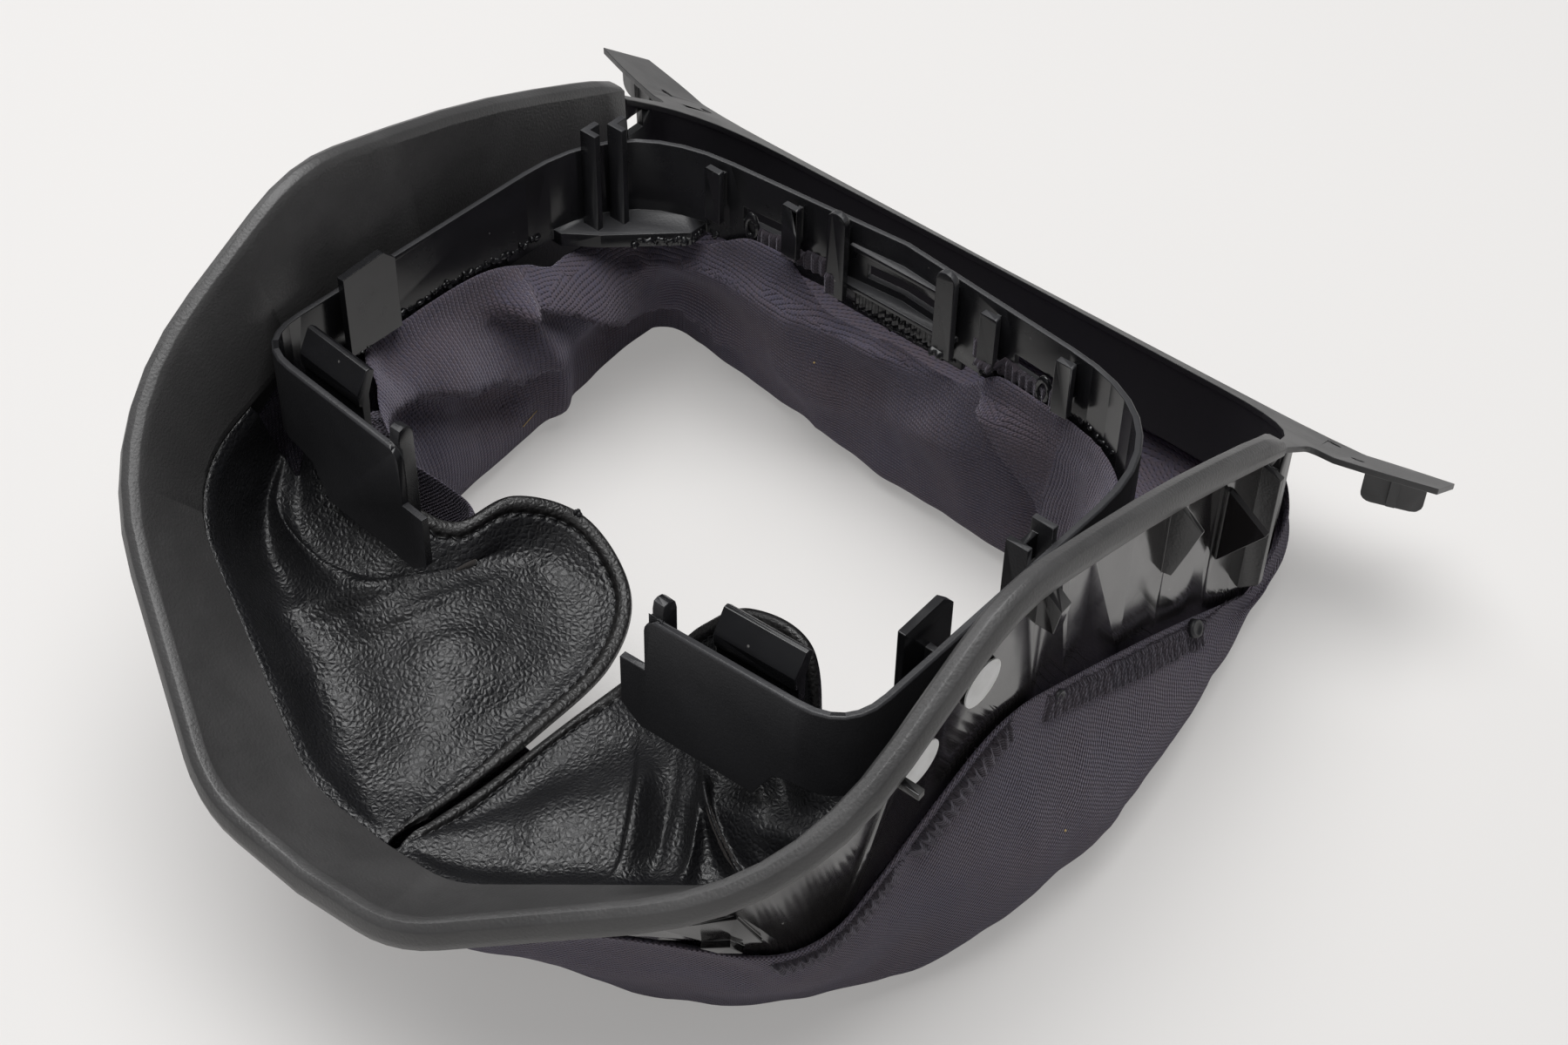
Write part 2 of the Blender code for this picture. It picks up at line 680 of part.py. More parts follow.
def side_tab(side, y, width, rise, low):
    """A flat tab standing up inside the side wall, with a sloping top corner."""
    x = collar_half_width - 1.2 * MM - collar_wall - 2.2 * MM
    outline = [(y, low), (y + width, low), (y + width, rise - 4.0 * MM), (y + width - 4.0 * MM, rise),
               (y, rise - 1.0 * MM)]
    points = [Vector((side * x, u, v)) for u, v in outline]
    tab = prism("tab", points, Vector((side * -2.2 * MM, 0.0, 0.0)))
    web = box_tool((side * (x + 1.2 * MM), y + width / 2, (low - 2.0 * MM) / 2),
                   (4.6 * MM, 2.0 * MM, -low - 2.0 * MM))
    return [tab, web]


def corner_post(x, y, rise, low):
    """An L-shaped post that stands in the rear left corner."""
    leg = 5.6 * MM
    thick = 2.0 * MM
    outline = [(0.0, 0.0), (leg, 0.0), (leg, thick), (thick, thick), (thick, leg), (0.0, leg)]
    points = [Vector((x + u, y + v, low)) for u, v in outline]
    return prism("post", points, Vector((0.0, 0.0, rise - low)))


def corner_seat():
    """The thick shelf that carries the two corner posts."""
    outline = [(-98.5, 27.0), (-93.0, 27.0), (-84.0, 34.0), (-72.0, 46.0), (-66.0, 52.0), (-66.0, 59.0),
               (-76.0, 56.5), (-88.0, 51.0), (-96.0, 40.0)]
    points = [Vector((x * MM, y * MM, -collar_depth - 1.0 * MM)) for x, y in outline]
    return prism("seat", points, Vector((0.0, 0.0, 4.5 * MM)))


def lock_bracket():
    """The bracket half way along the right-hand side: two cheeks and a bridge between them."""
    tools = []
    x = collar_half_width - 1.2 * MM - collar_wall
    for y in (-9.0 * MM, 1.0 * MM):
        tools.append(box_tool((x - 2.6 * MM, y, -7.0 * MM), (6.6 * MM, 1.8 * MM, 24.0 * MM)))
    tools.append(box_tool((x - 4.4 * MM, -4.0 * MM, -3.0 * MM), (1.8 * MM, 11.0 * MM, 8.0 * MM)))
    return tools


def ledge(x, length, z, depth):
    """A level rib on the inside of the back wall."""
    wall_y = back_wall(x) - collar_wall
    return box_tool((x, wall_y - depth / 2 + 0.5 * MM, z), (length, depth + 1.0 * MM, 1.6 * MM))


def weld_skirt(x, length, drop):
    """A plate hanging below the collar's edge, that the knit is welded to."""
    wall_y = back_wall(x) - collar_wall
    return box_tool((x, wall_y + 0.2 * MM, -collar_depth - drop / 2 + 1.0 * MM),
                    (length, 1.8 * MM, drop + 2.0 * MM))


def collar_details():
    tools = []
    for side in (1, -1):
        tools += snap_hook(side)
        tools.append(arm_rib(side))
        tools += side_tab(side, -52.0 * MM, 18.0 * MM, 9.0 * MM, -18.0 * MM)
        tools += back_tab(side * 18.6 * MM, 6.2 * MM, -24.0 * MM, 4.5 * MM)
        tools += back_tab(side * 34.0 * MM, 5.4 * MM, -18.0 * MM, -0.5 * MM, False)
        tools += back_tab(side * 60.0 * MM, 5.4 * MM, -17.5 * MM, 0.0, False)
    tools.append(ledge(0.0, 34.0 * MM, -8.0 * MM, 2.6 * MM))
    tools.append(ledge(0.0, 41.0 * MM, -20.0 * MM, 4.4 * MM))
    tools.append(weld_skirt(0.0, 44.0 * MM, 4.0 * MM))
    tools.append(corner_seat())
    tools += lock_bracket()
    for x, y in ((-91.5 * MM, 35.0 * MM), (-88.0 * MM, 42.0 * MM)):
        tools.append(corner_post(x, y, 8.5 * MM, -collar_depth + 1.0 * MM))
    return tools


def collar_cuts():
    """The tips' upper corners, and windows through the collar's back wall between the tabs."""
    cuts = [tip_cut(side) for side in (1, -1)]
    for x, width in ((0.0, 24.0 * MM), (47.0 * MM, 13.0 * MM), (-47.0 * MM, 13.0 * MM)):
        y = back_wall(x)
        cuts.append(box_tool((x, y, -14.5 * MM), (width, 6.0 * MM, 4.5 * MM)))
    return cuts


def catmull(points, fraction):
    """A point on a smooth curve through a list of points, the fraction running from 0 to 1."""
    spans = len(points) - 1
    place = min(fraction * spans, spans - 1e-9)
    index = int(place)
    t = place - index
    p0 = points[max(index - 1, 0)]
    p1 = points[index]
    p2 = points[index + 1]
    p3 = points[min(index + 2, spans)]
    return 0.5 * ((2 * p1) + (p2 - p0) * t + (2 * p0 - 5 * p1 + 4 * p2 - p3) * t ** 2
                  + (3 * p1 - p0 - 3 * p2 + p3) * t ** 3)


def arm_foot(reach, side):
    """A point just below the collar's lower edge, at a run from the arm's tip."""
    half = collar_half()
    runs = run_lengths(half)
    index = next(i for i, run in enumerate(runs) if run > reach)
    share = (reach - runs[index - 1]) / (runs[index] - runs[index - 1])
    spot = half[index - 1].lerp(half[index], share)
    low = -collar_drop(reach, 2.0 * runs[-1]) - 3.0 * MM
    return collar_matrix() @ Vector((side * spot.x, spot.y, low))


def funnel_spot(reach, side):
    """A point just inside and below the funnel's lower edge, at a run from the front middle."""
    path = funnel_guide()
    half = path[:len(path) // 2 + 1][::-1]
    runs = run_lengths(half)
    index = next(i for i, run in enumerate(runs) if run > reach)
    share = (reach - runs[index - 1]) / (runs[index] - runs[index - 1])
    spot = half[index - 1].lerp(half[index], share)
    inward = Vector((-spot.x, -spot.y, 0.0)).normalized() * 1.4 * MM
    spot = spot + inward - Vector((0.0, 0.0, 0.8 * wall + touch_gap))
    return Vector((side * max(spot.x, 0.7 * MM), spot.y, spot.z))


# Guide lines of each leather half in millimetres, all from the front middle to the arm's corner:
# the valley below the funnel, the crest, the hollow and the free hem.
funnel_runs = (0.0, 14.0, 28.0, 42.0, 56.0, 70.0, 84.0, 97.0, 109.0, 121.0, 134.0)
left_valley = ((-1.2, -118, 47.5), (-16, -112, 46), (-30, -103, 45), (-41, -96, 46), (-51, -91, 48),
               (-60, -88, 50), (-68, -85, 51), (-78, -80, 51), (-88, -74, 52), (-96, -65, 58), (-99, -55, 66))
left_crest = ((-1.1, -116.5, 47.4), (-9, -103, 46), (-18, -84, 49), (-26, -70, 52), (-34, -66, 54),
              (-42, -66, 56), (-50, -68, 57), (-60, -71, 58), (-74, -71, 58), (-89, -66, 59), (-96.5, -55, 63))
left_hollow = ((-1.0, -114.5, 47.2), (-3, -97, 44.5), (-5, -74, 44), (-7, -50, 44), (-16, -35, 45),
               (-28, -32, 48), (-38, -38, 52), (-43, -53, 53), (-56, -67, 56), (-78, -67, 56), (-93, -54, 59.5))
left_hem = ((-0.9, -112.5, 47), (2.2, -92, 46), (4.2, -70, 45.5), (4.2, -43, 45), (-5, -24, 48),
            (-25, -17, 56), (-40, -27, 63), (-46, -46, 58))
left_arm_runs = (18.0, 42.0, 76.0)
right_valley = ((2.0, -118, 47.5), (17, -112, 46), (31, -104, 46), (42, -97, 47.5), (52, -91, 49),
                (61, -87, 51), (69, -84, 52), (79, -80, 53), (89, -75, 57), (96, -67, 62), (101, -50, 70))
right_crest = ((1.9, -116.5, 47.4), (12, -104, 46), (23, -92, 47), (32, -80, 49), (40, -71, 51),
               (48, -67, 54), (56, -67.5, 57), (64, -68, 60), (76, -69, 65), (88, -66, 70), (99, -49, 74))
right_hollow = ((1.8, -114.5, 47.2), (9, -98, 44), (14, -82, 43), (20, -68, 44), (27, -57, 47),
                (35, -51, 54), (44, -49, 60), (55, -49.5, 62), (68, -52, 64), (82, -60, 70), (97, -48, 77))
right_hem = ((1.7, -112.5, 47), (5.4, -92, 46), (7.6, -70, 45.5), (10.0, -53, 46), (15, -44, 52),
             (23, -43, 63), (35, -43, 84), (49, -42.5, 100), (67, -43, 102), (80, -50, 82), (95, -47, 78))


def leather_rows(side, guides, rows, columns, folds):
    """Rows of points from the funnel's edge over valley, crest and hollow to the hem."""
    valley, crest, hollow, hem = [[Vector(point) * MM for point in guide_line] for guide_line in guides]
    outer = [funnel_spot(run * MM, side) for run in funnel_runs]
    grid = []
    for row in range(rows):
        v = row / (rows - 1)
        spine = [catmull(line, v) for line in (outer, valley, crest, hollow, hem)]
        line = []
        for column in range(columns):
            u = column / (columns - 1)
            point = catmull(spine, u)
            edge = math.sin(math.pi * u)
            lift = sum(height * math.exp(-((v - place - lean * (u - 0.5)) / width) ** 2)
                       * math.exp(-((u - middle) / spread) ** 2)
                       for place, lean, width, height, middle, spread in folds)
            line.append(point + Vector((0.0, 0.0, lift * edge * MM)))
        grid.append(line)
    return grid


def sheet_body(name, grid, thickness, finish):
    """A closed sheet: the grid is its upper face and the lower face lies a thickness below."""
    rows, columns = len(grid), len(grid[0])
    bm = bmesh.new()
    upper = [[bm.verts.new(point) for point in line] for line in grid]
    for row in range(rows - 1):
        for column in range(columns - 1):
            bm.faces.new((upper[row][column], upper[row + 1][column],
                          upper[row + 1][column + 1], upper[row][column + 1]))
    bm.normal_update()
    turned = -1.0 if upper[rows // 4][columns // 2].normal.z < 0.0 else 1.0
    normals = {vert: vert.normal * turned for vert in bm.verts}
    lower = []
    for row, line in enumerate(upper):
        below = []
        level = 1.0 - smoothstep(row / 3.0)
        for column, vert in enumerate(line):
            swell = hem_roll * smoothstep((column - (columns - 4)) / 2.0)
            down = normals[vert].lerp(Vector((0.0, 0.0, 1.0)), level).normalized()
            below.append(bm.verts.new(vert.co - down * (thickness + swell)))
        lower.append(below)
    for row in range(rows - 1):
        for column in range(columns - 1):
            bm.faces.new((lower[row][column], lower[row][column + 1],
                          lower[row + 1][column + 1], lower[row + 1][column]))
    border = [(row, 0) for row in range(rows)]
    border += [(rows - 1, column) for column in range(1, columns)]
    border += [(row, columns - 1) for row in range(rows - 2, -1, -1)]
    border += [(0, column) for column in range(columns - 2, 0, -1)]
    for index, (row, column) in enumerate(border):
        next_row, next_column = border[(index + 1) % len(border)]
        bm.faces.new((upper[row][column], upper[next_row][next_column],
                      lower[next_row][next_column], lower[row][column]))
    return object_from(name, bm, finish)


def make_leather(finish):
    left_line = left_hem + tuple(tuple(c / MM for c in arm_foot(run * MM, -1)) for run in left_arm_runs)
    left = leather_rows(-1, (left_valley, left_crest, left_hollow, left_line), 37, 21,
                        [(0.62, 0.10, 0.05, 2.0, 0.45, 0.25), (0.30, -0.10, 0.06, 1.5, 0.45, 0.25)])
    right = leather_rows(1, (right_valley, right_crest, right_hollow, right_hem), 45, 21,
                         [(0.42, -0.06, 0.030, 7.0, 0.40, 0.22), (0.60, 0.16, 0.040, 6.0, 0.38, 0.20),
                          (0.50, 0.05, 0.025, -3.0, 0.40, 0.20), (0.33, 0.05, 0.04, 2.0, 0.5, 0.25)])
    return [sheet_body("leather_left", left, leather_thickness, finish),
            sheet_body("leather_right", right, leather_thickness, finish)]


sleeve_centre = Vector((0.0, 10.0 * MM, 0.0))


def closed_outline(half):
    """A closed outline from its right-hand half, given front middle first and rear middle last."""
    return half + [Vector((-p.x, p.y, p.z)) for p in reversed(half[1:-1])]


def by_angle(outline, angles):
    """Points of a closed outline at given angles round the sleeve's centre."""
    bearing = np.array([math.atan2(p.y - sleeve_centre.y, p.x) for p in outline])
    radius = np.array([math.hypot(p.x, p.y - sleeve_centre.y) for p in outline])
    height = np.array([p.z for p in outline])
    order = np.argsort(bearing)
    full = 2.0 * math.pi
    bearing = bearing[order]
    bearing = np.concatenate([bearing - full, bearing, bearing + full])
    radius = np.tile(radius[order], 3)
    height = np.tile(height[order], 3)
    spots = []
    for angle in angles:
        reach = float(np.interp(angle, bearing, radius))
        level = float(np.interp(angle, bearing, height))
        spots.append(Vector((reach * math.cos(angle), sleeve_centre.y + reach * math.sin(angle), level)))
    return spots


def sleeve_laps():
    """The knit's upper edge, and a row below it, lapped over the surround's and the bridge's outer faces."""
    clear = knit_thickness / 2 + lap_gap
    up = Vector((0.0, 0.0, 1.0))
    rim, skirt = rim_guide(), skirt_guide()
    normals = plan_normals(rim)
    edge, below = [], []
    for index in range(len(skirt) // 2, -1, -1):
        out = normals[index]
        wall_top = rim[index] - out * overhang - up * (bead_lip + 1.0 * MM)
        rise = (wall_top - skirt[index]).normalized()
        side = (out * rise.dot(up) - up * rise.dot(out)).normalized()
        edge.append(skirt[index] + rise * sleeve_lap + side * clear)
        below.append(skirt[index] - rise * sleeve_lap * 0.6 + side * clear)
    back_y = bridge_back_y + clear
    lap_z = flange_height(0.0, bridge_back_y) - flange_thickness - 6.0 * MM
    rear = rounded_path([
        ((edge[-1].x, rim_end_y + 1.0 * MM, skirt_end_height + sleeve_lap), 0.0),
        ((edge[-1].x, back_y - 2.5 * MM, lap_z), bridge_corner + clear),
        ((0.0, back_y, lap_z), 0.0)], (4, 9), (7,))
    edge += rear
    below += [point - up * sleeve_lap * 1.6 for point in rear]
    return closed_outline(edge), closed_outline(below)


def sleeve_bulge_outline():
    return closed_outline(rounded_path([
        ((0.0, -114.0 * MM, sleeve_bulge_height), 0.0),
        ((44.0 * MM, -105.0 * MM, sleeve_bulge_height), 14.0 * MM),
        ((86.0 * MM, -86.0 * MM, sleeve_bulge_height), 18.0 * MM),
        ((118.0 * MM, -42.0 * MM, sleeve_bulge_height + 6.0 * MM), 22.0 * MM),
        ((126.5 * MM, 26.0 * MM, sleeve_bulge_height + 2.0 * MM), 26.0 * MM),
        ((115.0 * MM, 86.0 * MM, sleeve_bulge_height - 8.0 * MM), 22.0 * MM),
        ((110.0 * MM, 137.0 * MM, sleeve_bulge_height - 4.0 * MM), 30.0 * MM),
        ((0.0, 141.0 * MM, sleeve_bulge_height), 0.0)], (2, 2, 3, 3, 3, 2, 4), (3, 4, 4, 4, 4, 6)))


def sleeve_floor_outline():
    """Inner edge of the knit's foot: square in the rear left corner, where the knit is pleated."""
    right = rounded_path([
        ((0.0, passage_front_y, 0.0), 0.0),
        ((passage_half_width, passage_front_y, 0.0), 30.0 * MM),
        ((passage_half_width, passage_back_y - 3.0 * MM, 0.0), 22.0 * MM),
        ((0.0, passage_back_y, 0.0), 0.0)], (4, 4, 4), (6, 6))
    left = rounded_path([
        ((0.0, passage_back_y, 0.0), 0.0),
        ((-passage_half_width - 2.0 * MM, passage_back_y + 11.0 * MM, 0.0), 7.0 * MM),
        ((-passage_half_width, passage_front_y, 0.0), 30.0 * MM),
        ((0.0, passage_front_y, 0.0), 0.0)], (4, 4, 4), (6, 6))
    return right + left[1:-1]


def knit_edge_drop(x, y):
    """Extra drop of the knit's edge where a part of the collar reaches below the collar's skin."""
    plate = smoothstep((34.0 * MM - abs(x)) / (8.0 * MM)) if y > 0.0 else 0.0
    seat = smoothstep((32.0 * MM - math.hypot(x + 84.0 * MM, (y - 45.0 * MM) * 0.8)) / (8.0 * MM))
    return 13.0 * MM * plate + 10.5 * MM * seat


def sleeve_inner_outline():
    """The knit's upper edge inside the collar, and its low lip under the leather at the front."""
    path = collar_path()
    outs = collar_normals(path)
    runs = run_lengths(path)
    inset = collar_wall + knit_thickness / 2 + lap_gap
    pose = collar_matrix()
    ring = []
    for point, out, run in zip(path, outs, runs):
        near = min(run, runs[-1] - run)
        if near < collar_arm_length + 46.0 * MM:
            continue
        spot = point - out * inset
        edge = knit_line - knit_edge_drop(spot.x, spot.y)
        ring.append(pose @ Vector((spot.x, spot.y, edge)))
    return [Vector(point) * MM for point in front_edge_right] + ring + [Vector(point) * MM for point in front_edge_left]


# The knit's edge behind the arms and under the leather, in millimetres, from left to right.
front_edge_left = ((-88, -38, 76), (-72, -38, 70), (-50, -33, 60), (-42, -50, 42), (-30, -61, 32), (0, -69, 30))
front_edge_right = ((20, -69, 30), (40, -66, 34), (62, -58, 46), (80, -48, 62), (90, -40, 76))


def fold_offset(angle, level):
    """Inward push of the knit's inner wall by its folds at a bearing and a level between 0 and 1."""
    turn = math.degrees(angle) % 360.0
    push = 0.0
    for centre, width, depth, middle in knit_folds:
        apart = (turn - centre + 180.0) % 360.0 - 180.0
        push += depth * math.exp(-(apart / width) ** 2 - ((level - middle) / 0.26) ** 2)
    return push * MM


# Bearing and half spread in degrees, depth in millimetres and level of every fold of the inner wall.
knit_folds = (
    (156.0, 9.0, 11.0, 0.66), (134.0, 8.0, -8.0, 0.62), (118.0, 12.0, 9.0, 0.60), (146.0, 12.0, -6.0, 0.25),
    (176.0, 9.0, -5.0, 0.55), (192.0, 12.0, 6.0, 0.45), (90.0, 12.0, -3.0, 0.50), (66.0, 14.0, 4.0, 0.62),
    (44.0, 8.0, -4.0, 0.50), (12.0, 20.0, 14.0, 0.62), (334.0, 16.0, 9.0, 0.62), (352.0, 6.0, -4.0, 0.45),
    (212.0, 10.0, 7.0, 0.60))


def make_sleeve(finish):
    top, lapped = sleeve_laps()
    angles = [math.atan2(p.y - sleeve_centre.y, p.x) for p in top]
    bulge = by_angle(sleeve_bulge_outline(), angles)
    floor = by_angle(sleeve_floor_outline(), angles)
    inner = by_angle(sleeve_inner_outline(), angles)
    half = knit_thickness / 2
    rings = []
    for index, angle in enumerate(angles):
        out = Vector((math.cos(angle), math.sin(angle), 0.0))
        up = Vector((0.0, 0.0, 1.0))
        t, b, f, i = top[index], bulge[index], floor[index], inner[index]
        foot_out = Vector((b.x, b.y, 0.0)) - out * sleeve_floor_inset + up * half
        foot_in = Vector((f.x, f.y, 0.0)) + out * 5.0 * MM + up * half
        lean = (b - t).dot(out)
        neck = f.lerp(i, 0.84)
        line = [
            t,
            lapped[index],
            t.lerp(b, 0.62) + out * (1.5 * MM + abs(lean) * 0.12),
            b,
            b.lerp(foot_out, 0.55) + out * 3.5 * MM - up * 2.5 * MM,
            foot_out,
            foot_in,
            Vector((f.x, f.y, 8.0 * MM)) - out * fold_offset(angle, 0.1) * 0.5,
            f.lerp(i, 0.36) - out * (1.5 * MM + fold_offset(angle, 0.36)),
            f.lerp(i, 0.62) - out * (1.0 * MM + fold_offset(angle, 0.62)),
            neck - out * (max(0.0, (neck - i).dot(out)) + max(0.0, fold_offset(angle, 0.84)) * 0.7),
            i,
        ]
        outer_side, inner_side = [], []
        for spot in range(len(line)):
            before = line[max(spot - 1, 0)]
            after = line[min(spot + 1, len(line) - 1)]
            along = (after - before).normalized()
            side = Vector((out.x * -along.z, out.y * -along.z, along.dot(out)))
            side = side.normalized() * half
            outer_side.append(line[spot] + side)
            inner_side.append(line[spot] - side)
        rings.append(outer_side + list(reversed(inner_side)))
    return loft("knit_sleeve", rings, finish, closed_path=True)


def wall_face_x(y, height):
    """How far out the outer face of the right-hand wall lies at a place along it and a height."""
    spots = []
    for point, low in zip(rim_guide(), skirt_guide()):
        high = point - Vector((overhang, 0.0, bead_lip + 1.0 * MM))
        if point.x > rim_nose_half_width and high.z > low.z:
            spots.append(high.lerp(low, (high.z - height) / (high.z - low.z)))
    spots.sort(key=lambda spot: spot.y)
    return float(np.interp(y, [spot.y for spot in spots], [spot.x for spot in spots]))


def make_dots(finish):
    """Two plain paper dots stuck to the right-hand wall below the rim."""
    dots = []
    reach = 0.8 * dot_radius
    for name, y, drop in (("paper_dot_rear", -32.5 * MM, 21.0 * MM), ("paper_dot_front", -54.5 * MM, 18.5 * MM)):
        z = rim_height(y) - drop
        lean_y = (wall_face_x(y + reach, z) - wall_face_x(y - reach, z)) / (2.0 * reach)
        lean_z = (wall_face_x(y, z + reach) - wall_face_x(y, z - reach)) / (2.0 * reach)
        out = Vector((1.0, -lean_y, -lean_z)).normalized()
        centre = Vector((wall_face_x(y, z), y, z)) + out * (touch_gap + dot_thickness / 2)
        bm = bmesh.new()
        bmesh.ops.create_cone(bm, cap_ends=True, segments=28, radius1=dot_radius, radius2=dot_radius,
                              depth=dot_thickness)
        turn = Vector((0.0, 0.0, 1.0)).rotation_difference(out).to_matrix()
        bmesh.ops.rotate(bm, cent=(0, 0, 0), matrix=turn, verts=bm.verts)
        bmesh.ops.translate(bm, vec=centre, verts=bm.verts)
        dots.append(object_from(name, bm, finish))
    return dots


def main():
    clear_scene()
    grained = material("grained_black_plastic", (0.030, 0.030, 0.032), 0.5)
    smooth_black = material("smooth_black_plastic", (0.022, 0.022, 0.024), 0.42)
    collar_black = material("collar_black_plastic", (0.020, 0.020, 0.022), 0.4)
    leather = material("black_leather", (0.018, 0.018, 0.020), 0.45)
    knit = material("plum_grey_knit", (0.085, 0.075, 0.095), 0.95)
    paper = material("white_paper", (0.80, 0.80, 0.79), 0.8)
    shell = make_shell(grained)
    shade(combine(shell, shell_details()))
    shade(make_bridge(smooth_black))
    shade(make_collar(collar_black))
    for half in make_leather(leather):
        shade(half, 60.0)
    shade(make_sleeve(knit), 60.0)
    for dot in make_dots(paper):
        shade(dot)


main()
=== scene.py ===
"""The looks of the steering column cover: mouldings, stitched leather, a welded knit and paper dots."""
import math
import random

import bmesh
import bpy
from mathutils import Matrix, Vector, noise
from mathutils.bvhtree import BVHTree


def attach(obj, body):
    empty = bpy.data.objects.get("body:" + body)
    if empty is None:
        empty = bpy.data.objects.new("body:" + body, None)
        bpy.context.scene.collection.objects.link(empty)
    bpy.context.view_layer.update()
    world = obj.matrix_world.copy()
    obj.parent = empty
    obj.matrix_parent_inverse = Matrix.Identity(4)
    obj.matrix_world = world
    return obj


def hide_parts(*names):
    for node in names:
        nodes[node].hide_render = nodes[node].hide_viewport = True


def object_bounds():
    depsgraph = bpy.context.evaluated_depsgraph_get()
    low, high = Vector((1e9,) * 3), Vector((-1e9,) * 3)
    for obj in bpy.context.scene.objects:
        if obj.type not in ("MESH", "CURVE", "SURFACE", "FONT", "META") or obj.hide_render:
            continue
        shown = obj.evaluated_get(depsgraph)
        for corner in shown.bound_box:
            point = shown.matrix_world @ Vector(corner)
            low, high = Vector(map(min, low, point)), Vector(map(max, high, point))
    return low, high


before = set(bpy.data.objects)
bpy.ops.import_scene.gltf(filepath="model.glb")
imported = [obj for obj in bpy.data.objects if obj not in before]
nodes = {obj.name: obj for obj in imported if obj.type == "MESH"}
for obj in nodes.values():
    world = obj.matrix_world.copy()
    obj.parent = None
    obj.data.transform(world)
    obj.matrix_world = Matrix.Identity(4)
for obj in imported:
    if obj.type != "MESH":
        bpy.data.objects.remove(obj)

MM = 0.001
cad_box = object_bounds()
view = bpy.context.scene


# Small helpers

def smoothstep(value):
    value = min(1.0, max(0.0, value))
    return value * value * (3.0 - 2.0 * value)


def catmull(points, fraction):
    """A point on a smooth curve through the given points, at a fraction of its stretches."""
    place = min(max(fraction, 0.0), 1.0) * (len(points) - 1)
    index = min(int(place), len(points) - 2)
    t = place - index
    b, c = points[index], points[index + 1]
    a = points[index - 1] if index else b * 2 - c
    d = points[index + 2] if index < len(points) - 2 else c * 2 - b
    return ((b * 2) + (c - a) * t + (a * 2 - b * 5 + c * 4 - d) * t ** 2
            + (b * 3 - a - c * 3 + d) * t ** 3) * 0.5


def even_points(points, step):
    """Points along a line of points, a fixed step apart."""
    found, left = [points[0].copy()], step
    for start, end in zip(points, points[1:]):
        length = (end - start).length
        gone = 0.0
        while length - gone >= left:
            gone += left
            found.append(start.lerp(end, gone / length))
            left = step
        left -= length - gone
    return found


def piece(name, bm, materials):
    """A finished piece at the origin, riding on the part's one body."""
    mesh = bpy.data.meshes.new(name)
    bm.to_mesh(mesh)
    bm.free()
    made = bpy.data.objects.new(name, mesh)
    view.collection.objects.link(made)
    for finish in materials:
        mesh.materials.append(finish)
    mesh.shade_smooth()
    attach(made, "root")
    return made


def settled(made):
    """Give a piece the mesh that its modifiers make, so that none stays live."""
    bpy.context.view_layer.update()
    mesh = bpy.data.meshes.new_from_object(made.evaluated_get(bpy.context.evaluated_depsgraph_get()))
    made.modifiers.clear()
    made.data = mesh
    return made


def merged_copy(source):
    """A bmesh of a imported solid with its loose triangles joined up."""
    bm = bmesh.new()
    bm.from_mesh(nodes[source].data)
    bmesh.ops.remove_doubles(bm, verts=bm.verts, dist=0.01 * MM)
    return bm


def surface_of(source):
    """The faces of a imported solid, to cast rays at."""
    bm = merged_copy(source)
    tree = BVHTree.FromBMesh(bm)
    bm.free()
    return tree


def standing(place, way):
    """The matrix that stands a shape at a place, with its upright axis along a way."""
    return Matrix.Translation(place) @ Vector(way).to_track_quat("Z", "Y").to_matrix().to_4x4()


def jitter(dice, reach):
    return Vector([dice.uniform(-reach, reach) for _ in range(3)])


# Node trees

def node(tree, kind, inputs=None, **settings):
    made = tree.nodes.new("ShaderNode" + kind)
    for key, value in settings.items():
        setattr(made, key, value)
    for key, value in (inputs or {}).items():
        if isinstance(value, bpy.types.NodeSocket):
            tree.links.new(value, made.inputs[key])
        else:
            made.inputs[key].default_value = value
    return made


def calc(tree, operation, *values):
    return node(tree, "Math", dict(enumerate(values)), operation=operation).outputs[0]


def ranged(tree, value, low, high, to_low=0.0, to_high=1.0):
    """A value carried from one range to another, with soft ends."""
    return node(tree, "MapRange", {"Value": value, "From Min": low, "From Max": high, "To Min": to_low,
                                   "To Max": to_high}, interpolation_type="SMOOTHSTEP").outputs["Result"]


def clouds(tree, place, scale, detail, output="Fac"):
    """Soft noise over a place, as a value or as a colour."""
    return node(tree, "TexNoise", {"Vector": place, "Scale": scale, "Detail": detail}).outputs[output]


def shade(colour, factor=1.0):
    """A colour made lighter or darker, with its alpha."""
    return tuple(c * factor for c in colour) + (1.0,)


def blended(tree, factor, first, second):
    """A colour between two, by a factor."""
    made = node(tree, "Mix", data_type="RGBA")
    for socket, value in zip((made.inputs[0], made.inputs[6], made.inputs[7]), (factor, first, second)):
        if isinstance(value, bpy.types.NodeSocket):
            tree.links.new(value, socket)
        else:
            socket.default_value = value
    return made.outputs[2]


def new_group(name, inputs, outputs):
    tree = bpy.data.node_groups.new(name, "ShaderNodeTree")
    for label, kind, value in inputs:
        socket = tree.interface.new_socket(label, in_out="INPUT", socket_type="NodeSocket" + kind)
        if value is not None:
            socket.default_value = value
    for label, kind in outputs:
        tree.interface.new_socket(label, in_out="OUTPUT", socket_type="NodeSocket" + kind)
    return tree, tree.nodes.new("NodeGroupInput").outputs, tree.nodes.new("NodeGroupOutput").inputs


def use_group(tree, group, **inputs):
    made = tree.nodes.new("ShaderNodeGroup")
    made.node_tree = group
    for key, value in inputs.items():
        if isinstance(value, bpy.types.NodeSocket):
            tree.links.new(value, made.inputs[key])
        else:
            made.inputs[key].default_value = value
    return made.outputs


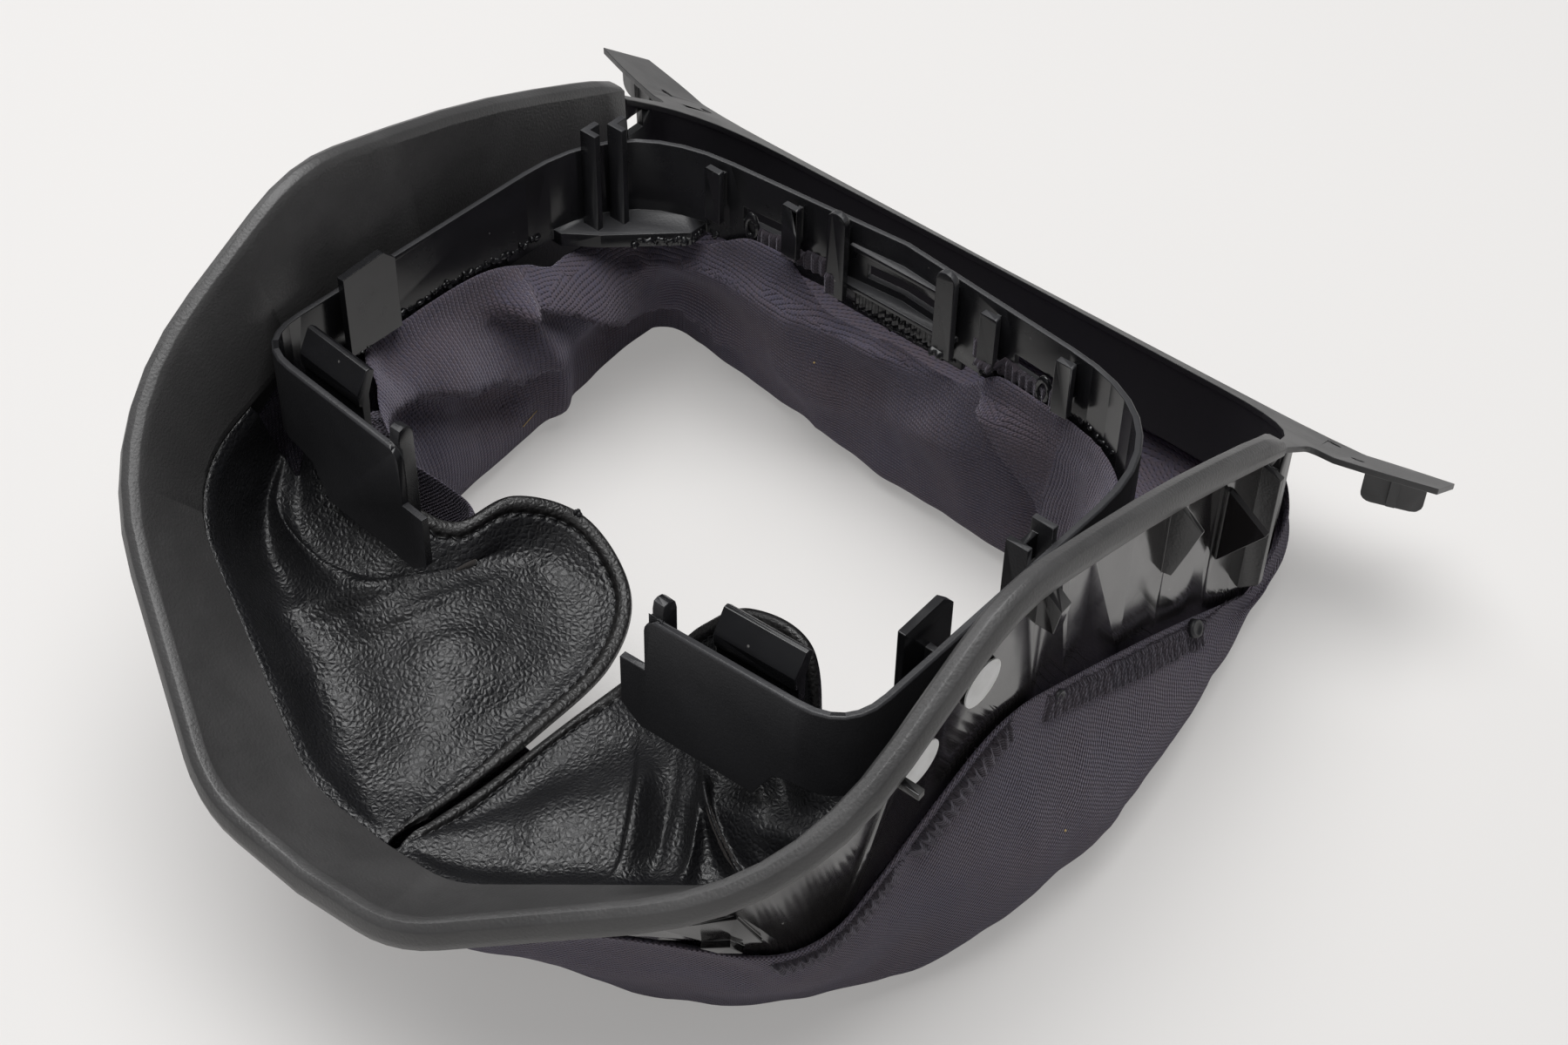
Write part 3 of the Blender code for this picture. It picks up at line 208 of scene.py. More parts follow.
def moulded_grain_group():
    """Fine eroded grain of a moulding: its height, and broad patches of handling."""
    tree, given, out = new_group("moulded_grain", [("Scale", "Float", 1500.0)],
                                 [("Height", "Float"), ("Patches", "Float"), ("Dust", "Float")])
    place = node(tree, "TexCoord").outputs["Object"]
    fine = clouds(tree, place, given["Scale"], 2.0)
    cells = node(tree, "TexVoronoi", {"Vector": place, "Scale": given["Scale"]},
                 feature="SMOOTH_F1").outputs["Distance"]
    tree.links.new(calc(tree, "ADD", calc(tree, "MULTIPLY", fine, 0.6), calc(tree, "MULTIPLY", cells, 0.5)),
                   out["Height"])
    broad = node(tree, "TexNoise", {"Vector": place, "Scale": 26.0, "Detail": 5.0,
                                    "Roughness": 0.6}).outputs["Fac"]
    tree.links.new(ranged(tree, broad, 0.35, 0.68), out["Patches"])
    specks = node(tree, "TexVoronoi", {"Vector": place, "Scale": 260.0}).outputs["Distance"]
    sparse = clouds(tree, place, 95.0, 2.0)
    dust = calc(tree, "MULTIPLY", ranged(tree, specks, 0.12, 0.04), ranged(tree, sparse, 0.58, 0.66))
    tree.links.new(dust, out["Dust"])
    return tree


def pebbled_hide_group():
    """Grain of a milled hide: rounded pebbles parted by fine creases."""
    tree, given, out = new_group("pebbled_hide", [("Scale", "Float", 560.0)],
                                 [("Height", "Float"), ("Creases", "Float"), ("Patches", "Float")])
    place = node(tree, "TexCoord").outputs["Object"]
    bend = clouds(tree, place, 330.0, 2.0, "Color")
    moved = node(tree, "VectorMath", {0: bend, 1: (0.0007, 0.0007, 0.0007)}, operation="MULTIPLY").outputs[0]
    bent = node(tree, "VectorMath", {0: place, 1: moved}, operation="ADD").outputs[0]
    big = node(tree, "TexVoronoi", {"Vector": bent, "Scale": given["Scale"]},
               feature="DISTANCE_TO_EDGE").outputs["Distance"]
    small = node(tree, "TexVoronoi", {"Vector": bent, "Scale": calc(tree, "MULTIPLY", given["Scale"], 2.3)},
                 feature="DISTANCE_TO_EDGE").outputs["Distance"]
    pebbles = ranged(tree, big, -0.05, 0.42)
    pores = ranged(tree, small, 0.0, 0.16)
    fine = clouds(tree, place, 2600.0, 2.0)
    height = calc(tree, "ADD", calc(tree, "MULTIPLY", pebbles, 0.86), calc(tree, "MULTIPLY", pores, 0.11))
    tree.links.new(calc(tree, "ADD", height, calc(tree, "MULTIPLY", fine, 0.03)), out["Height"])
    # Creases: near the cell edges, used for painted shade in the colour and for duller roughness
    tree.links.new(ranged(tree, big, 0.0, 0.12, 1.0, 0.0), out["Creases"])
    broad = clouds(tree, place, 34.0, 4.0)
    tree.links.new(ranged(tree, broad, 0.35, 0.65), out["Patches"])
    return tree


def jersey_group():
    """Knitting on a map in metres: ribs of vee stitches or a lattice of loops, gaps and mottled yarn."""
    tree, given, out = new_group("jersey", [("Map", "Vector", None), ("Column", "Float", 0.00135),
                                            ("Row", "Float", 0.00105), ("Loops", "Float", 0.0)],
                                 [("Height", "Float"), ("Gaps", "Float"), ("Mottle", "Float")])
    wobble = clouds(tree, given["Map"], 120.0, 2.0, "Color")
    shift = node(tree, "VectorMath", {0: wobble, 1: (0.0012, 0.0012, 0.0)}, operation="MULTIPLY").outputs[0]
    bent = node(tree, "VectorMath", {0: given["Map"], 1: shift}, operation="ADD").outputs[0]
    parts = node(tree, "SeparateXYZ", {0: bent}).outputs
    across = calc(tree, "FRACT", calc(tree, "DIVIDE", parts["X"], given["Column"]))
    ridge = calc(tree, "ABSOLUTE", calc(tree, "SUBTRACT", calc(tree, "MULTIPLY", across, 2.0), 1.0))
    rows = calc(tree, "DIVIDE", parts["Y"], given["Row"])
    along = calc(tree, "ADD", rows, calc(tree, "MULTIPLY", ridge, 0.55))
    wave = calc(tree, "SINE", calc(tree, "MULTIPLY", along, 2.0 * math.pi))
    stitch = calc(tree, "MULTIPLY_ADD", wave, 0.5, 0.5)
    column = calc(tree, "SUBTRACT", 1.0, calc(tree, "POWER", ridge, 3.0))
    ribs = calc(tree, "ADD", calc(tree, "MULTIPLY", column, 0.66), calc(tree, "MULTIPLY", stitch, 0.34))
    wide = calc(tree, "COSINE", calc(tree, "MULTIPLY", across, 2.0 * math.pi))
    turns = calc(tree, "DIVIDE", calc(tree, "MULTIPLY", parts["Y"], 1.4 * math.pi), given["Row"])
    tall = calc(tree, "COSINE", turns)
    loops = calc(tree, "MULTIPLY_ADD", calc(tree, "MULTIPLY", wide, tall), 0.5, 0.5)
    plain = calc(tree, "MULTIPLY", ribs, calc(tree, "SUBTRACT", 1.0, given["Loops"]))
    height = calc(tree, "MULTIPLY_ADD", loops, given["Loops"], plain)
    tree.links.new(height, out["Height"])
    # Gaps: where the stitches are low, used for painted shade between them
    tree.links.new(ranged(tree, height, 0.55, 0.10), out["Gaps"])
    yarn = clouds(tree, given["Map"], 900.0, 3.0)
    broad = clouds(tree, given["Map"], 38.0, 3.0)
    mixed = calc(tree, "ADD", calc(tree, "MULTIPLY", yarn, 0.55), calc(tree, "MULTIPLY", broad, 0.45))
    tree.links.new(ranged(tree, mixed, 0.36, 0.64), out["Mottle"])
    return tree


grain_group = moulded_grain_group()
hide_group = pebbled_hide_group()
knit_group = jersey_group()


def finish_of(name):
    made = bpy.data.materials.new(name)
    made.use_nodes = True
    return made, made.node_tree, made.node_tree.nodes["Principled BSDF"]


def bumped(tree, surface, height, strength, distance):
    bump = node(tree, "Bump", {"Height": height, "Strength": strength, "Distance": distance})
    tree.links.new(bump.outputs["Normal"], surface.inputs["Normal"])


dust_colour = (0.30, 0.29, 0.28, 1.0)
sheen_colour = (0.72, 0.68, 0.80, 1.0)


def moulding(name, colour, roughness, spread, scale, strength, depth, dust=0.0, gloss=0.5):
    """Black moulded plastic with a grain, uneven handling and a little dust."""
    made, tree, surface = finish_of(name)
    marks = use_group(tree, grain_group, Scale=scale)
    lighter = shade(colour, 1.35)
    base = blended(tree, marks["Patches"], shade(colour), lighter)
    if dust:
        base = blended(tree, calc(tree, "MULTIPLY", marks["Dust"], dust), base, dust_colour)
    tree.links.new(base, surface.inputs["Base Color"])
    tree.links.new(ranged(tree, marks["Patches"], 0.0, 1.0, roughness, roughness + spread),
                   surface.inputs["Roughness"])
    surface.inputs["Specular IOR Level"].default_value = gloss
    bumped(tree, surface, marks["Height"], strength, depth)
    return made


def hide(name, colour, roughness, strength, scale=640.0):
    """Black pebbled leather, a little rougher in its creases, where painted shade also darkens the colour."""
    made, tree, surface = finish_of(name)
    grain = use_group(tree, hide_group, Scale=scale)
    lighter = shade(colour, 1.4)
    base = blended(tree, grain["Patches"], shade(colour), lighter)
    # Painted shade: the colour is darkened in the creases between the pebbles
    painted_shade = shade(colour, 0.6)
    tree.links.new(blended(tree, grain["Creases"], base, painted_shade), surface.inputs["Base Color"])
    dull = calc(tree, "MULTIPLY", grain["Creases"], 0.18)
    uneven = ranged(tree, grain["Patches"], 0.0, 1.0, roughness, roughness + 0.08)
    tree.links.new(calc(tree, "ADD", uneven, dull), surface.inputs["Roughness"])
    bumped(tree, surface, grain["Height"], strength, 0.45 * MM)
    return made


def suede(name, colour):
    """The brushed back of the hide."""
    made, tree, surface = finish_of(name)
    place = node(tree, "TexCoord").outputs["Object"]
    nap = clouds(tree, place, 1400.0, 4.0)
    broad = clouds(tree, place, 60.0, 3.0)
    lighter = shade(colour, 1.8)
    tree.links.new(blended(tree, ranged(tree, broad, 0.3, 0.7), shade(colour), lighter),
                   surface.inputs["Base Color"])
    surface.inputs["Roughness"].default_value = 0.95
    surface.inputs["Sheen Weight"].default_value = 0.2
    bumped(tree, surface, nap, 0.5, 0.3 * MM)
    return made


def jersey(name, warm, cool, strength, loops=0.0, column=1.3 * MM, row=1.05 * MM):
    """Plum-grey knit: mottled yarn, with painted shade between the stitches."""
    made, tree, surface = finish_of(name)
    cloth = node(tree, "UVMap", uv_map="cloth").outputs["UV"]
    stitches = use_group(tree, knit_group, Map=cloth, Column=column, Row=row, Loops=loops)
    yarn = blended(tree, stitches["Mottle"], shade(warm), shade(cool))
    # Painted shade: the colour is darkened in the gaps between the stitches
    painted_shade = shade(warm, 0.22)
    tree.links.new(blended(tree, stitches["Gaps"], yarn, painted_shade), surface.inputs["Base Color"])
    surface.inputs["Roughness"].default_value = 0.92
    surface.inputs["Specular IOR Level"].default_value = 0.2
    surface.inputs["Sheen Weight"].default_value = 0.35
    surface.inputs["Sheen Roughness"].default_value = 0.5
    surface.inputs["Sheen Tint"].default_value = sheen_colour
    bumped(tree, surface, stitches["Height"], strength, 0.5 * MM)
    return made


def paper(name):
    """Matt white label paper."""
    made, tree, surface = finish_of(name)
    place = node(tree, "TexCoord").outputs["Object"]
    fibres = clouds(tree, place, 3000.0, 4.0)
    soiled = clouds(tree, place, 160.0, 3.0)
    clean, stained = (0.84, 0.84, 0.83, 1.0), (0.74, 0.74, 0.72, 1.0)
    tree.links.new(blended(tree, ranged(tree, soiled, 0.35, 0.75), clean, stained),
                   surface.inputs["Base Color"])
    surface.inputs["Roughness"].default_value = 0.7
    bumped(tree, surface, fibres, 0.15, 0.05 * MM)
    return made


rim_finish = moulding("grained_black_plastic", (0.046, 0.045, 0.045), 0.40, 0.08, 1400.0, 0.5, 0.25 * MM)
wall_finish = moulding("glossy_black_wall", (0.012, 0.011, 0.011), 0.08, 0.10, 420.0, 0.03, 0.1 * MM,
                       dust=0.6, gloss=0.7)
bridge_finish = moulding("smooth_black_plastic", (0.020, 0.020, 0.021), 0.40, 0.08, 2100.0, 0.16, 0.15 * MM)
collar_skin = moulding("collar_grained_skin", (0.022, 0.022, 0.024), 0.42, 0.08, 1500.0, 0.30, 0.25 * MM)
collar_gloss = moulding("collar_black_plastic", (0.009, 0.009, 0.010), 0.18, 0.12, 600.0, 0.05, 0.1 * MM,
                        dust=0.5)
melted = moulding("melted_weld_plastic", (0.007, 0.007, 0.008), 0.14, 0.14, 520.0, 0.6, 0.5 * MM)
leather_finish = hide("black_leather", (0.0065, 0.0065, 0.0075), 0.30, 0.42)
hem_finish = hide("turned_leather_hem", (0.008, 0.0075, 0.0075), 0.34, 0.36)
back_finish = suede("leather_back", (0.011, 0.009, 0.008))
thread_finish = moulding("black_thread", (0.006, 0.006, 0.007), 0.45, 0.1, 2500.0, 0.4, 0.2 * MM)
knit_finish = jersey("plum_grey_knit", (0.098, 0.078, 0.093), (0.079, 0.073, 0.105), 1.0)
skirt_finish = jersey("plum_grey_knit_skirt", (0.088, 0.070, 0.083), (0.071, 0.064, 0.091), 1.0, loops=1.0)
weld_finish = jersey("pressed_knit_weld", (0.042, 0.034, 0.040), (0.030, 0.028, 0.035), 0.6)
lint_finish = suede("straw_lint", (0.42, 0.30, 0.12))
paper_finish = paper("white_paper")


# Mouldings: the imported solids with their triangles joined, round shading and soft edges

sharp_angle = math.radians(32.0)


def dressed_moulding(source, name, materials, choose, soften):
    bm = merged_copy(source)
    bm.normal_update()
    for face in bm.faces:
        face.material_index = choose(face)
    made = piece(name, bm, materials)
    made.data.set_sharp_from_angle(angle=sharp_angle)
    bevel = made.modifiers.new("soft_edges", "BEVEL")
    bevel.width = soften
    bevel.segments = 2
    bevel.limit_method = "ANGLE"
    bevel.angle_limit = sharp_angle
    bevel.use_clamp_overlap = False
    bevel.harden_normals = True
    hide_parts(source)
    return made


shell_surface = surface_of("surround_shell")
ear_start = 115.0 * MM


def shell_finish(face):
    """0 for the grained rim and funnel, 1 for the glossy outer wall and what stands on it."""
    centre = face.calc_center_median()
    outward = Vector((centre.x, centre.y + 10.0 * MM, 0.0)).normalized()
    if abs(centre.x) > ear_start:
        return 1
    if face.normal.dot(outward) < -0.1:
        return 0
    clear = centre + face.normal * 0.3 * MM + Vector((0, 0, 0.2 * MM))
    above = shell_surface.ray_cast(clear, Vector((0, 0, 1)))
    return 1 if above[0] is not None else 0


dressed_moulding("surround_shell", "surround", [rim_finish, wall_finish], shell_finish, 0.25 * MM)
dressed_moulding("back_bridge", "bridge", [bridge_finish], lambda face: 0, 0.3 * MM)

collar_turn = (math.radians(-4.7), math.radians(-2.6), math.radians(-2.6))
collar_place = Vector((-0.8, 19.7, 100.4)) * MM
collar_inner_half = 94.0 * MM
collar_arm_end = -75.0 * MM
collar_frame = (Matrix.Translation(collar_place)
                @ Matrix.Rotation(collar_turn[2], 4, "Z") @ Matrix.Rotation(collar_turn[1], 4, "Y")
                @ Matrix.Rotation(collar_turn[0], 4, "X"))


def collar_finish(face):
    """0 for the collar's grained outer skin, 1 for the glossy inside, hooks and tabs."""
    place = collar_frame.inverted() @ face.calc_center_median()
    inside = abs(place.x) < collar_inner_half and collar_arm_end < place.y < 0.0
    outward = Vector((place.x, place.y, 0.0)).normalized()
    facing = (collar_frame.to_3x3().inverted() @ face.normal).dot(outward)
    return 1 if inside or facing < -0.2 else 0


dressed_moulding("column_collar", "collar", [collar_skin, collar_gloss], collar_finish, 0.25 * MM)
for dot in ("paper_dot_rear", "paper_dot_front"):
    nodes[dot].data.materials.clear()
    nodes[dot].data.materials.append(paper_finish)


# Leather halves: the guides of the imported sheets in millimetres, from the front middle to the arm's corner

funnel_edge = ((0.7, -119.1, 47.9), (13.5, -119.7, 50.8), (26.7, -118.0, 54.5), (38.6, -112.7, 59.2),
               (50.4, -107.2, 63.9), (62.2, -101.8, 68.6), (74.1, -96.3, 73.3), (84.6, -90.3, 77.6),
               (92.3, -82.0, 80.8), (97.2, -71.4, 83.0), (99.5, -58.8, 84.3))
left_guides = (
    tuple((-x, y, z) for x, y, z in funnel_edge),
    ((-1.2, -118, 47.5), (-16, -112, 46), (-30, -103, 45), (-41, -96, 46), (-51, -91, 48), (-60, -88, 50),
     (-68, -85, 51), (-78, -80, 51), (-88, -74, 52), (-96, -65, 58), (-99, -55, 66)),
    ((-1.1, -116.5, 47.4), (-9, -103, 46), (-18, -84, 49), (-26, -70, 52), (-34, -66, 54), (-42, -66, 56),
     (-50, -68, 57), (-60, -71, 58), (-74, -71, 58), (-89, -66, 59), (-96.5, -55, 63)),
    ((-1.0, -114.5, 47.2), (-3, -97, 44.5), (-5, -74, 44), (-7, -50, 44), (-16, -35, 45), (-28, -32, 48),
     (-38, -38, 52), (-43, -53, 53), (-56, -67, 56), (-78, -66, 56), (-93, -54, 60)),
    ((-0.9, -112.5, 47), (2.2, -92, 46), (4.2, -70, 45.5), (4.2, -43, 45), (-5, -24, 48), (-25, -17, 56),
     (-40, -27, 63), (-47, -42, 62), (-58, -47, 66), (-80, -46, 67), (-101.3, -39.9, 72)))
right_guides = (
    funnel_edge,
    ((2.0, -118, 47.5), (17, -112, 46), (31, -104, 46), (42, -97, 47.5), (52, -91, 49), (61, -87, 51),
     (69, -84, 52), (79, -80, 53), (89, -75, 57), (96, -67, 62), (101, -50, 70)),
    ((1.9, -116.5, 47.4), (12, -104, 46), (23, -92, 47), (32, -80, 49), (40, -71, 51), (48, -67, 54),
     (56, -67.5, 57), (64, -68, 60), (76, -69, 65), (88, -66, 70), (99, -49, 74)),
    ((1.8, -114.5, 47.2), (9, -98, 44), (14, -82, 43), (20, -68, 44), (27, -57, 47), (35, -51, 54),
     (44, -49, 60), (55, -49.5, 62), (68, -52, 64), (82, -60, 70), (97, -48, 77)),
    ((1.7, -112.5, 47), (5.4, -92, 46), (7.6, -70, 45.5), (10.0, -53, 46), (15, -44, 52), (23, -43, 63),
     (35, -43, 84), (49, -42.5, 100), (67, -43, 102), (80, -50, 82), (95, -47, 78)))
# Folds: place and lean along the sheet, half spread before and after it, height in millimetres, middle and
# spread across the sheet
left_folds = ((0.62, 0.10, 0.05, 0.05, 2.0, 0.45, 0.25), (0.30, -0.10, 0.06, 0.06, 1.5, 0.45, 0.25),
              (0.47, 0.22, 0.02, 0.03, 0.8, 0.60, 0.22))
right_folds = ((0.385, 0.05, 0.010, 0.040, 7.0, 0.38, 0.22), (0.59, 0.20, 0.030, 0.030, 5.0, 0.34, 0.22),
               (0.61, -0.43, 0.022, 0.022, 6.0, 0.34, 0.19), (0.76, 0.0, 0.05, 0.05, 4.5, 0.64, 0.09),
               (0.81, -0.2, 0.06, 0.06, -5.0, 0.40, 0.12), (0.22, 0.10, 0.05, 0.05, 1.6, 0.5, 0.25),
               (0.47, 0.10, 0.02, 0.02, -1.5, 0.4, 0.2))


def leather_point(lines, folds, u, v):
    point = catmull([catmull(line, v) for line in lines], u)
    lift = 0.0
    for place, lean, before, after, height, centre, spread in folds:
        off = v - place - lean * (u - 0.5)
        width = before if off < 0.0 else after
        lift += height * math.exp(-(off / width) ** 2 - ((u - centre) / spread) ** 2)
    return point + Vector((0.0, 0.0, lift * math.sin(math.pi * u) * MM))


def leather_grid(guides, folds, rows, columns):
    lines = [[Vector(point) * MM for point in guide_line] for guide_line in guides]
    across = [1.0 - (1.0 - column / (columns - 1)) ** 1.4 for column in range(columns)]
    return [[leather_point(lines, folds, u, row / (rows - 1)) for u in across] for row in range(rows)]


def grid_normals(grid):
    normals = []
    for row, line in enumerate(grid):
        before, after = grid[max(row - 1, 0)], grid[min(row + 1, len(grid) - 1)]
        found = []
        for column in range(len(line)):
            across = line[min(column + 1, len(line) - 1)] - line[max(column - 1, 0)]
            along = after[column] - before[column]
            normal = across.cross(along)
            found.append(normal.normalized() if normal.length > 1e-9 else Vector((0, 0, 1)))
        normals.append(found)
    middle = normals[len(grid) // 4][len(grid[0]) // 2]
    turned = -1.0 if middle.z < 0.0 else 1.0
    return [[normal * turned for normal in line] for line in normals]


def closed_slab(bm, upper, lower, finish, side_finish):
    """Faces over and under two grids of vertices, joined round their rims; finish takes row and column."""
    rows, columns = len(upper), len(upper[0])
    for row in range(rows - 1):
        for column in range(columns - 1):
            top = bm.faces.new((upper[row][column], upper[row + 1][column],
                                upper[row + 1][column + 1], upper[row][column + 1]))
            under = bm.faces.new((lower[row][column], lower[row][column + 1],
                                  lower[row + 1][column + 1], lower[row + 1][column]))
            top.material_index, under.material_index = finish(row, column)
    rim = [(row, 0) for row in range(rows)]
    rim += [(rows - 1, column) for column in range(1, columns)]
    rim += [(row, columns - 1) for row in range(rows - 2, -1, -1)]
    rim += [(0, column) for column in range(columns - 2, 0, -1)]
    for index, (row, column) in enumerate(rim):
        next_row, next_column = rim[(index + 1) % len(rim)]
        side = bm.faces.new((upper[row][column], upper[next_row][next_column],
                             lower[next_row][next_column], lower[row][column]))
        side.material_index = side_finish
    bmesh.ops.recalc_face_normals(bm, faces=bm.faces)


# The hide, and its hem as it lies inwards from the free edge
hide_thickness = 1.0 * MM
stitch_pitch, stitch_length = 3.4 * MM, 2.3 * MM
seam_inset = 4.4 * MM
seam_width = 0.75 * MM
hem_roll = 2.0 * MM
pad_inset, pad_width = 2.4 * MM, 1.3 * MM
tuck_width = 3.5 * MM


def leather_sheet(name, guides, folds, node_name, seed):
    """A hide with a turned hem: returns the piece and the line of its seam with the way up."""
    rows, columns = 300, 120
    grid = leather_grid(guides, folds, rows, columns)
    ups = grid_normals(grid)
    bm = bmesh.new()
    upper, lower, hem, seam = [], [], [], []
    gone, last_close = 0.0, None
    for row, line in enumerate(grid):
        reach = [0.0] * columns
        for column in range(columns - 2, -1, -1):
            reach[column] = reach[column + 1] + (line[column] - line[column + 1]).length
        start_level = 1.0 - smoothstep(row / 10.0)
        close = min(range(columns), key=lambda index: abs(reach[index] - seam_inset))
        if last_close is not None:
            gone += (line[close] - last_close).length
        last_close = line[close]
        pinch = (0.5 + 0.5 * math.cos(2.0 * math.pi * gone / stitch_pitch)) ** 1.5
        upper_row, lower_row = [], []
        for column in range(columns):
            up = ups[row][column].lerp(Vector((0.0, 0.0, 1.0)), start_level).normalized()
            place, far = line[column], reach[column]
            from_funnel = (place - line[0]).length
            live = smoothstep(min(far, from_funnel) / (9.0 * MM)) * (1.0 - start_level)
            ripple = noise.noise(place * 80.0 + Vector((seed, 0, 0))) * 0.6
            ripple += noise.noise(place * 240.0) * 0.16
            roll = 0.0
            if far < hem_roll:
                roll = math.sqrt(max(0.0, 1.0 - (1.0 - far / hem_roll) ** 2)) - 1.0
            groove = math.exp(-((far - seam_inset) / seam_width) ** 2) * -(0.25 + 0.75 * pinch)
            pad = math.exp(-((far - pad_inset) / pad_width) ** 2) * 0.40
            tucked = 1.0 - smoothstep(from_funnel / tuck_width)
            shift = (ripple * live + (roll * 1.1 + groove + pad) * (1.0 - start_level) - tucked * 1.3) * MM
            top = place + up * shift
            doubled = 1.0 - smoothstep((far - 3.0 * MM) / (1.5 * MM))
            fat = hide_thickness * (1.0 + 0.6 * doubled) + roll * 0.5 * MM
            upper_row.append(bm.verts.new(top))
            lower_row.append(bm.verts.new(top - up * max(fat, 0.7 * MM)))
        if row > 4:
            seam.append((upper_row[close].co.copy(), ups[row][close].copy()))
        upper.append(upper_row)
        lower.append(lower_row)
        hem.append(close)
    closed_slab(bm, upper, lower, lambda row, column: (1, 1) if column >= hem[row] else (0, 2), 1)
    made = piece(name, bm, [leather_finish, hem_finish, back_finish])
    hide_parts(node_name)
    return made, seam


def stitch_row(name, seam, last):
    """Short sunk stitches of thread along a seam."""
    bm = bmesh.new()
    run, next_at = 0.0, stitch_pitch
    for index in range(1, len(seam)):
        step = seam[index][0] - seam[index - 1][0]
        run += step.length
        if run < next_at or run > last or step.length < 1e-6:
            continue
        next_at += stitch_pitch
        up = seam[index][1]
        along = step.normalized()
        side = up.cross(along).normalized()
        turn = Matrix((along, side, along.cross(side))).transposed().to_4x4()
        shape = Matrix.Diagonal((stitch_length / 2, 0.34 * MM, 0.30 * MM, 1.0))
        place = Matrix.Translation(seam[index][0] + up * 0.12 * MM)
        bmesh.ops.create_uvsphere(bm, u_segments=8, v_segments=6, radius=1.0,
                                  matrix=place @ turn @ shape @ Matrix.Rotation(math.pi / 2, 4, "Y"))
    return piece(name, bm, [thread_finish])


leather_left, left_seam = leather_sheet("leather_left_hide", left_guides, left_folds, "leather_left", 3.0)
leather_right, right_seam = leather_sheet("leather_right_hide", right_guides, right_folds, "leather_right",
                                          8.0)
left_stitches = stitch_row("leather_left_stitches", left_seam, 200.0 * MM)
right_stitches = stitch_row("leather_right_stitches", right_seam, 150.0 * MM)


# Knit sleeve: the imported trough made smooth, creased and mapped for its stitches

collar_surface = surface_of("column_collar")
bridge_surface = surface_of("back_bridge")
leather_surfaces = [surface_of("leather_left"), surface_of("leather_right")]
knit_middle = Vector((0.0, 10.0, 0.0)) * MM
# Half the width and depth of the upright boxes that the stitches are laid out round
trough_half, skirt_half = (0.088, 0.066), (0.112, 0.094)
# Creases in millimetres: a line along the wall, how far the cloth swells above and below it, and how far in
knit_creases = (
    (((-93, -34, 68), (-92, -17, 61), (-90, 2, 48), (-89, 22, 36)), 15.0, 2.2, 8.5),
    (((-92, -15, 50), (-90, 5, 36), (-90, 20, 25)), 7.0, 6.0, -4.5),
    (((-92, 28, 61), (-90, 34, 45), (-88, 39, 30), (-86, 41, 6)), 5.0, 5.0, 5.5),
    (((-94, 50, 79), (-93, 40, 70), (-91, 32, 62)), 2.4, 2.4, -4.0),
    (((-91, 34, 60), (-86, 50, 46), (-84, 63, 35), (-80, 78, 25), (-70, 78, 22)), 13.0, 2.2, 9.0),
    (((-88, 52, 26), (-85, 64, 16)), 10.0, 8.0, -5.0),
    (((-78, 70, 54), (-60, 74, 57), (-30, 76, 58), (-2, 77, 61)), 3.0, 12.0, 4.5),
    (((-30, 72, 30), (0, 74, 34), (24, 74, 44)), 9.0, 9.0, 3.0),
    (((36, 75, 72), (50, 74, 57), (62, 73, 44), (68, 72, 30)), 13.0, 2.4, 7.0),
    (((56, 74, 30), (66, 72, 14)), 6.0, 6.0, -4.0),
    (((86, 20, 60), (84, 36, 44), (84, 50, 30)), 8.0, 2.6, 5.0),
    (((86, -8, 64), (86, 6, 52), (86, 16, 34)), 7.0, 3.0, 4.5))


def room_around(point):
    """Distance to the nearest moulding or leather."""
    trees = [shell_surface, collar_surface, bridge_surface] + leather_surfaces
    return min(tree.find_nearest(point)[3] for tree in trees)


def crease_reach(point):
    """How far in the creases bring the cloth at a point, in millimetres, and how near the closest one is."""
    total, nearest = 0.0, 1.0
    for line, above, below, height in knit_creases:
        best, best_way = 1.0, 0.0
        for start, end in zip(line, line[1:]):
            start, span = Vector(start) * MM, (Vector(end) - Vector(start)) * MM
            part = min(1.0, max(0.0, (point - start).dot(span) / span.length_squared))
            off = point - start - span * part
            if off.length < best:
                best, best_way = off.length, off.z
        width = (above if best_way > 0.0 else below) * MM
        if best < width * 3.0:
            total += height * math.exp(-(best / width) ** 2)
        nearest = min(nearest, best)
    return total, nearest


def knit_shift(point):
    """Folds of the cloth, the same for both of its faces."""
    inward = Vector((knit_middle.x - point.x, knit_middle.y - point.y, 0.0)).normalized()
    room = smoothstep((room_around(point) - 0.8 * MM) / (5.0 * MM)) * smoothstep(point.z / (8.0 * MM))
    slow = noise.noise(Vector((point.x * 42.0, point.y * 42.0, point.z * 20.0)))
    fine = noise.noise(Vector((point.x * 120.0, point.y * 120.0, point.z * 70.0 + 5.0)))
    return inward * (crease_reach(point)[0] - slow * 1.8 - fine * 0.7) * MM * room


def way_round(place, half_x, half_y):
    """Distance round an upright box, from the middle of its right side to where a bearing crosses it."""
    size = max(abs(place.x) / half_x, abs(place.y) / half_y, 1e-6)
    x, y = place.x / size, place.y / size
    if x > half_x - 1e-6:
        return y
    if y > half_y - 1e-6:
        return half_y + half_x - x
    if x < 1e-6 - half_x:
        return 2.0 * half_y + 2.0 * half_x - y
    return x - half_x - half_y


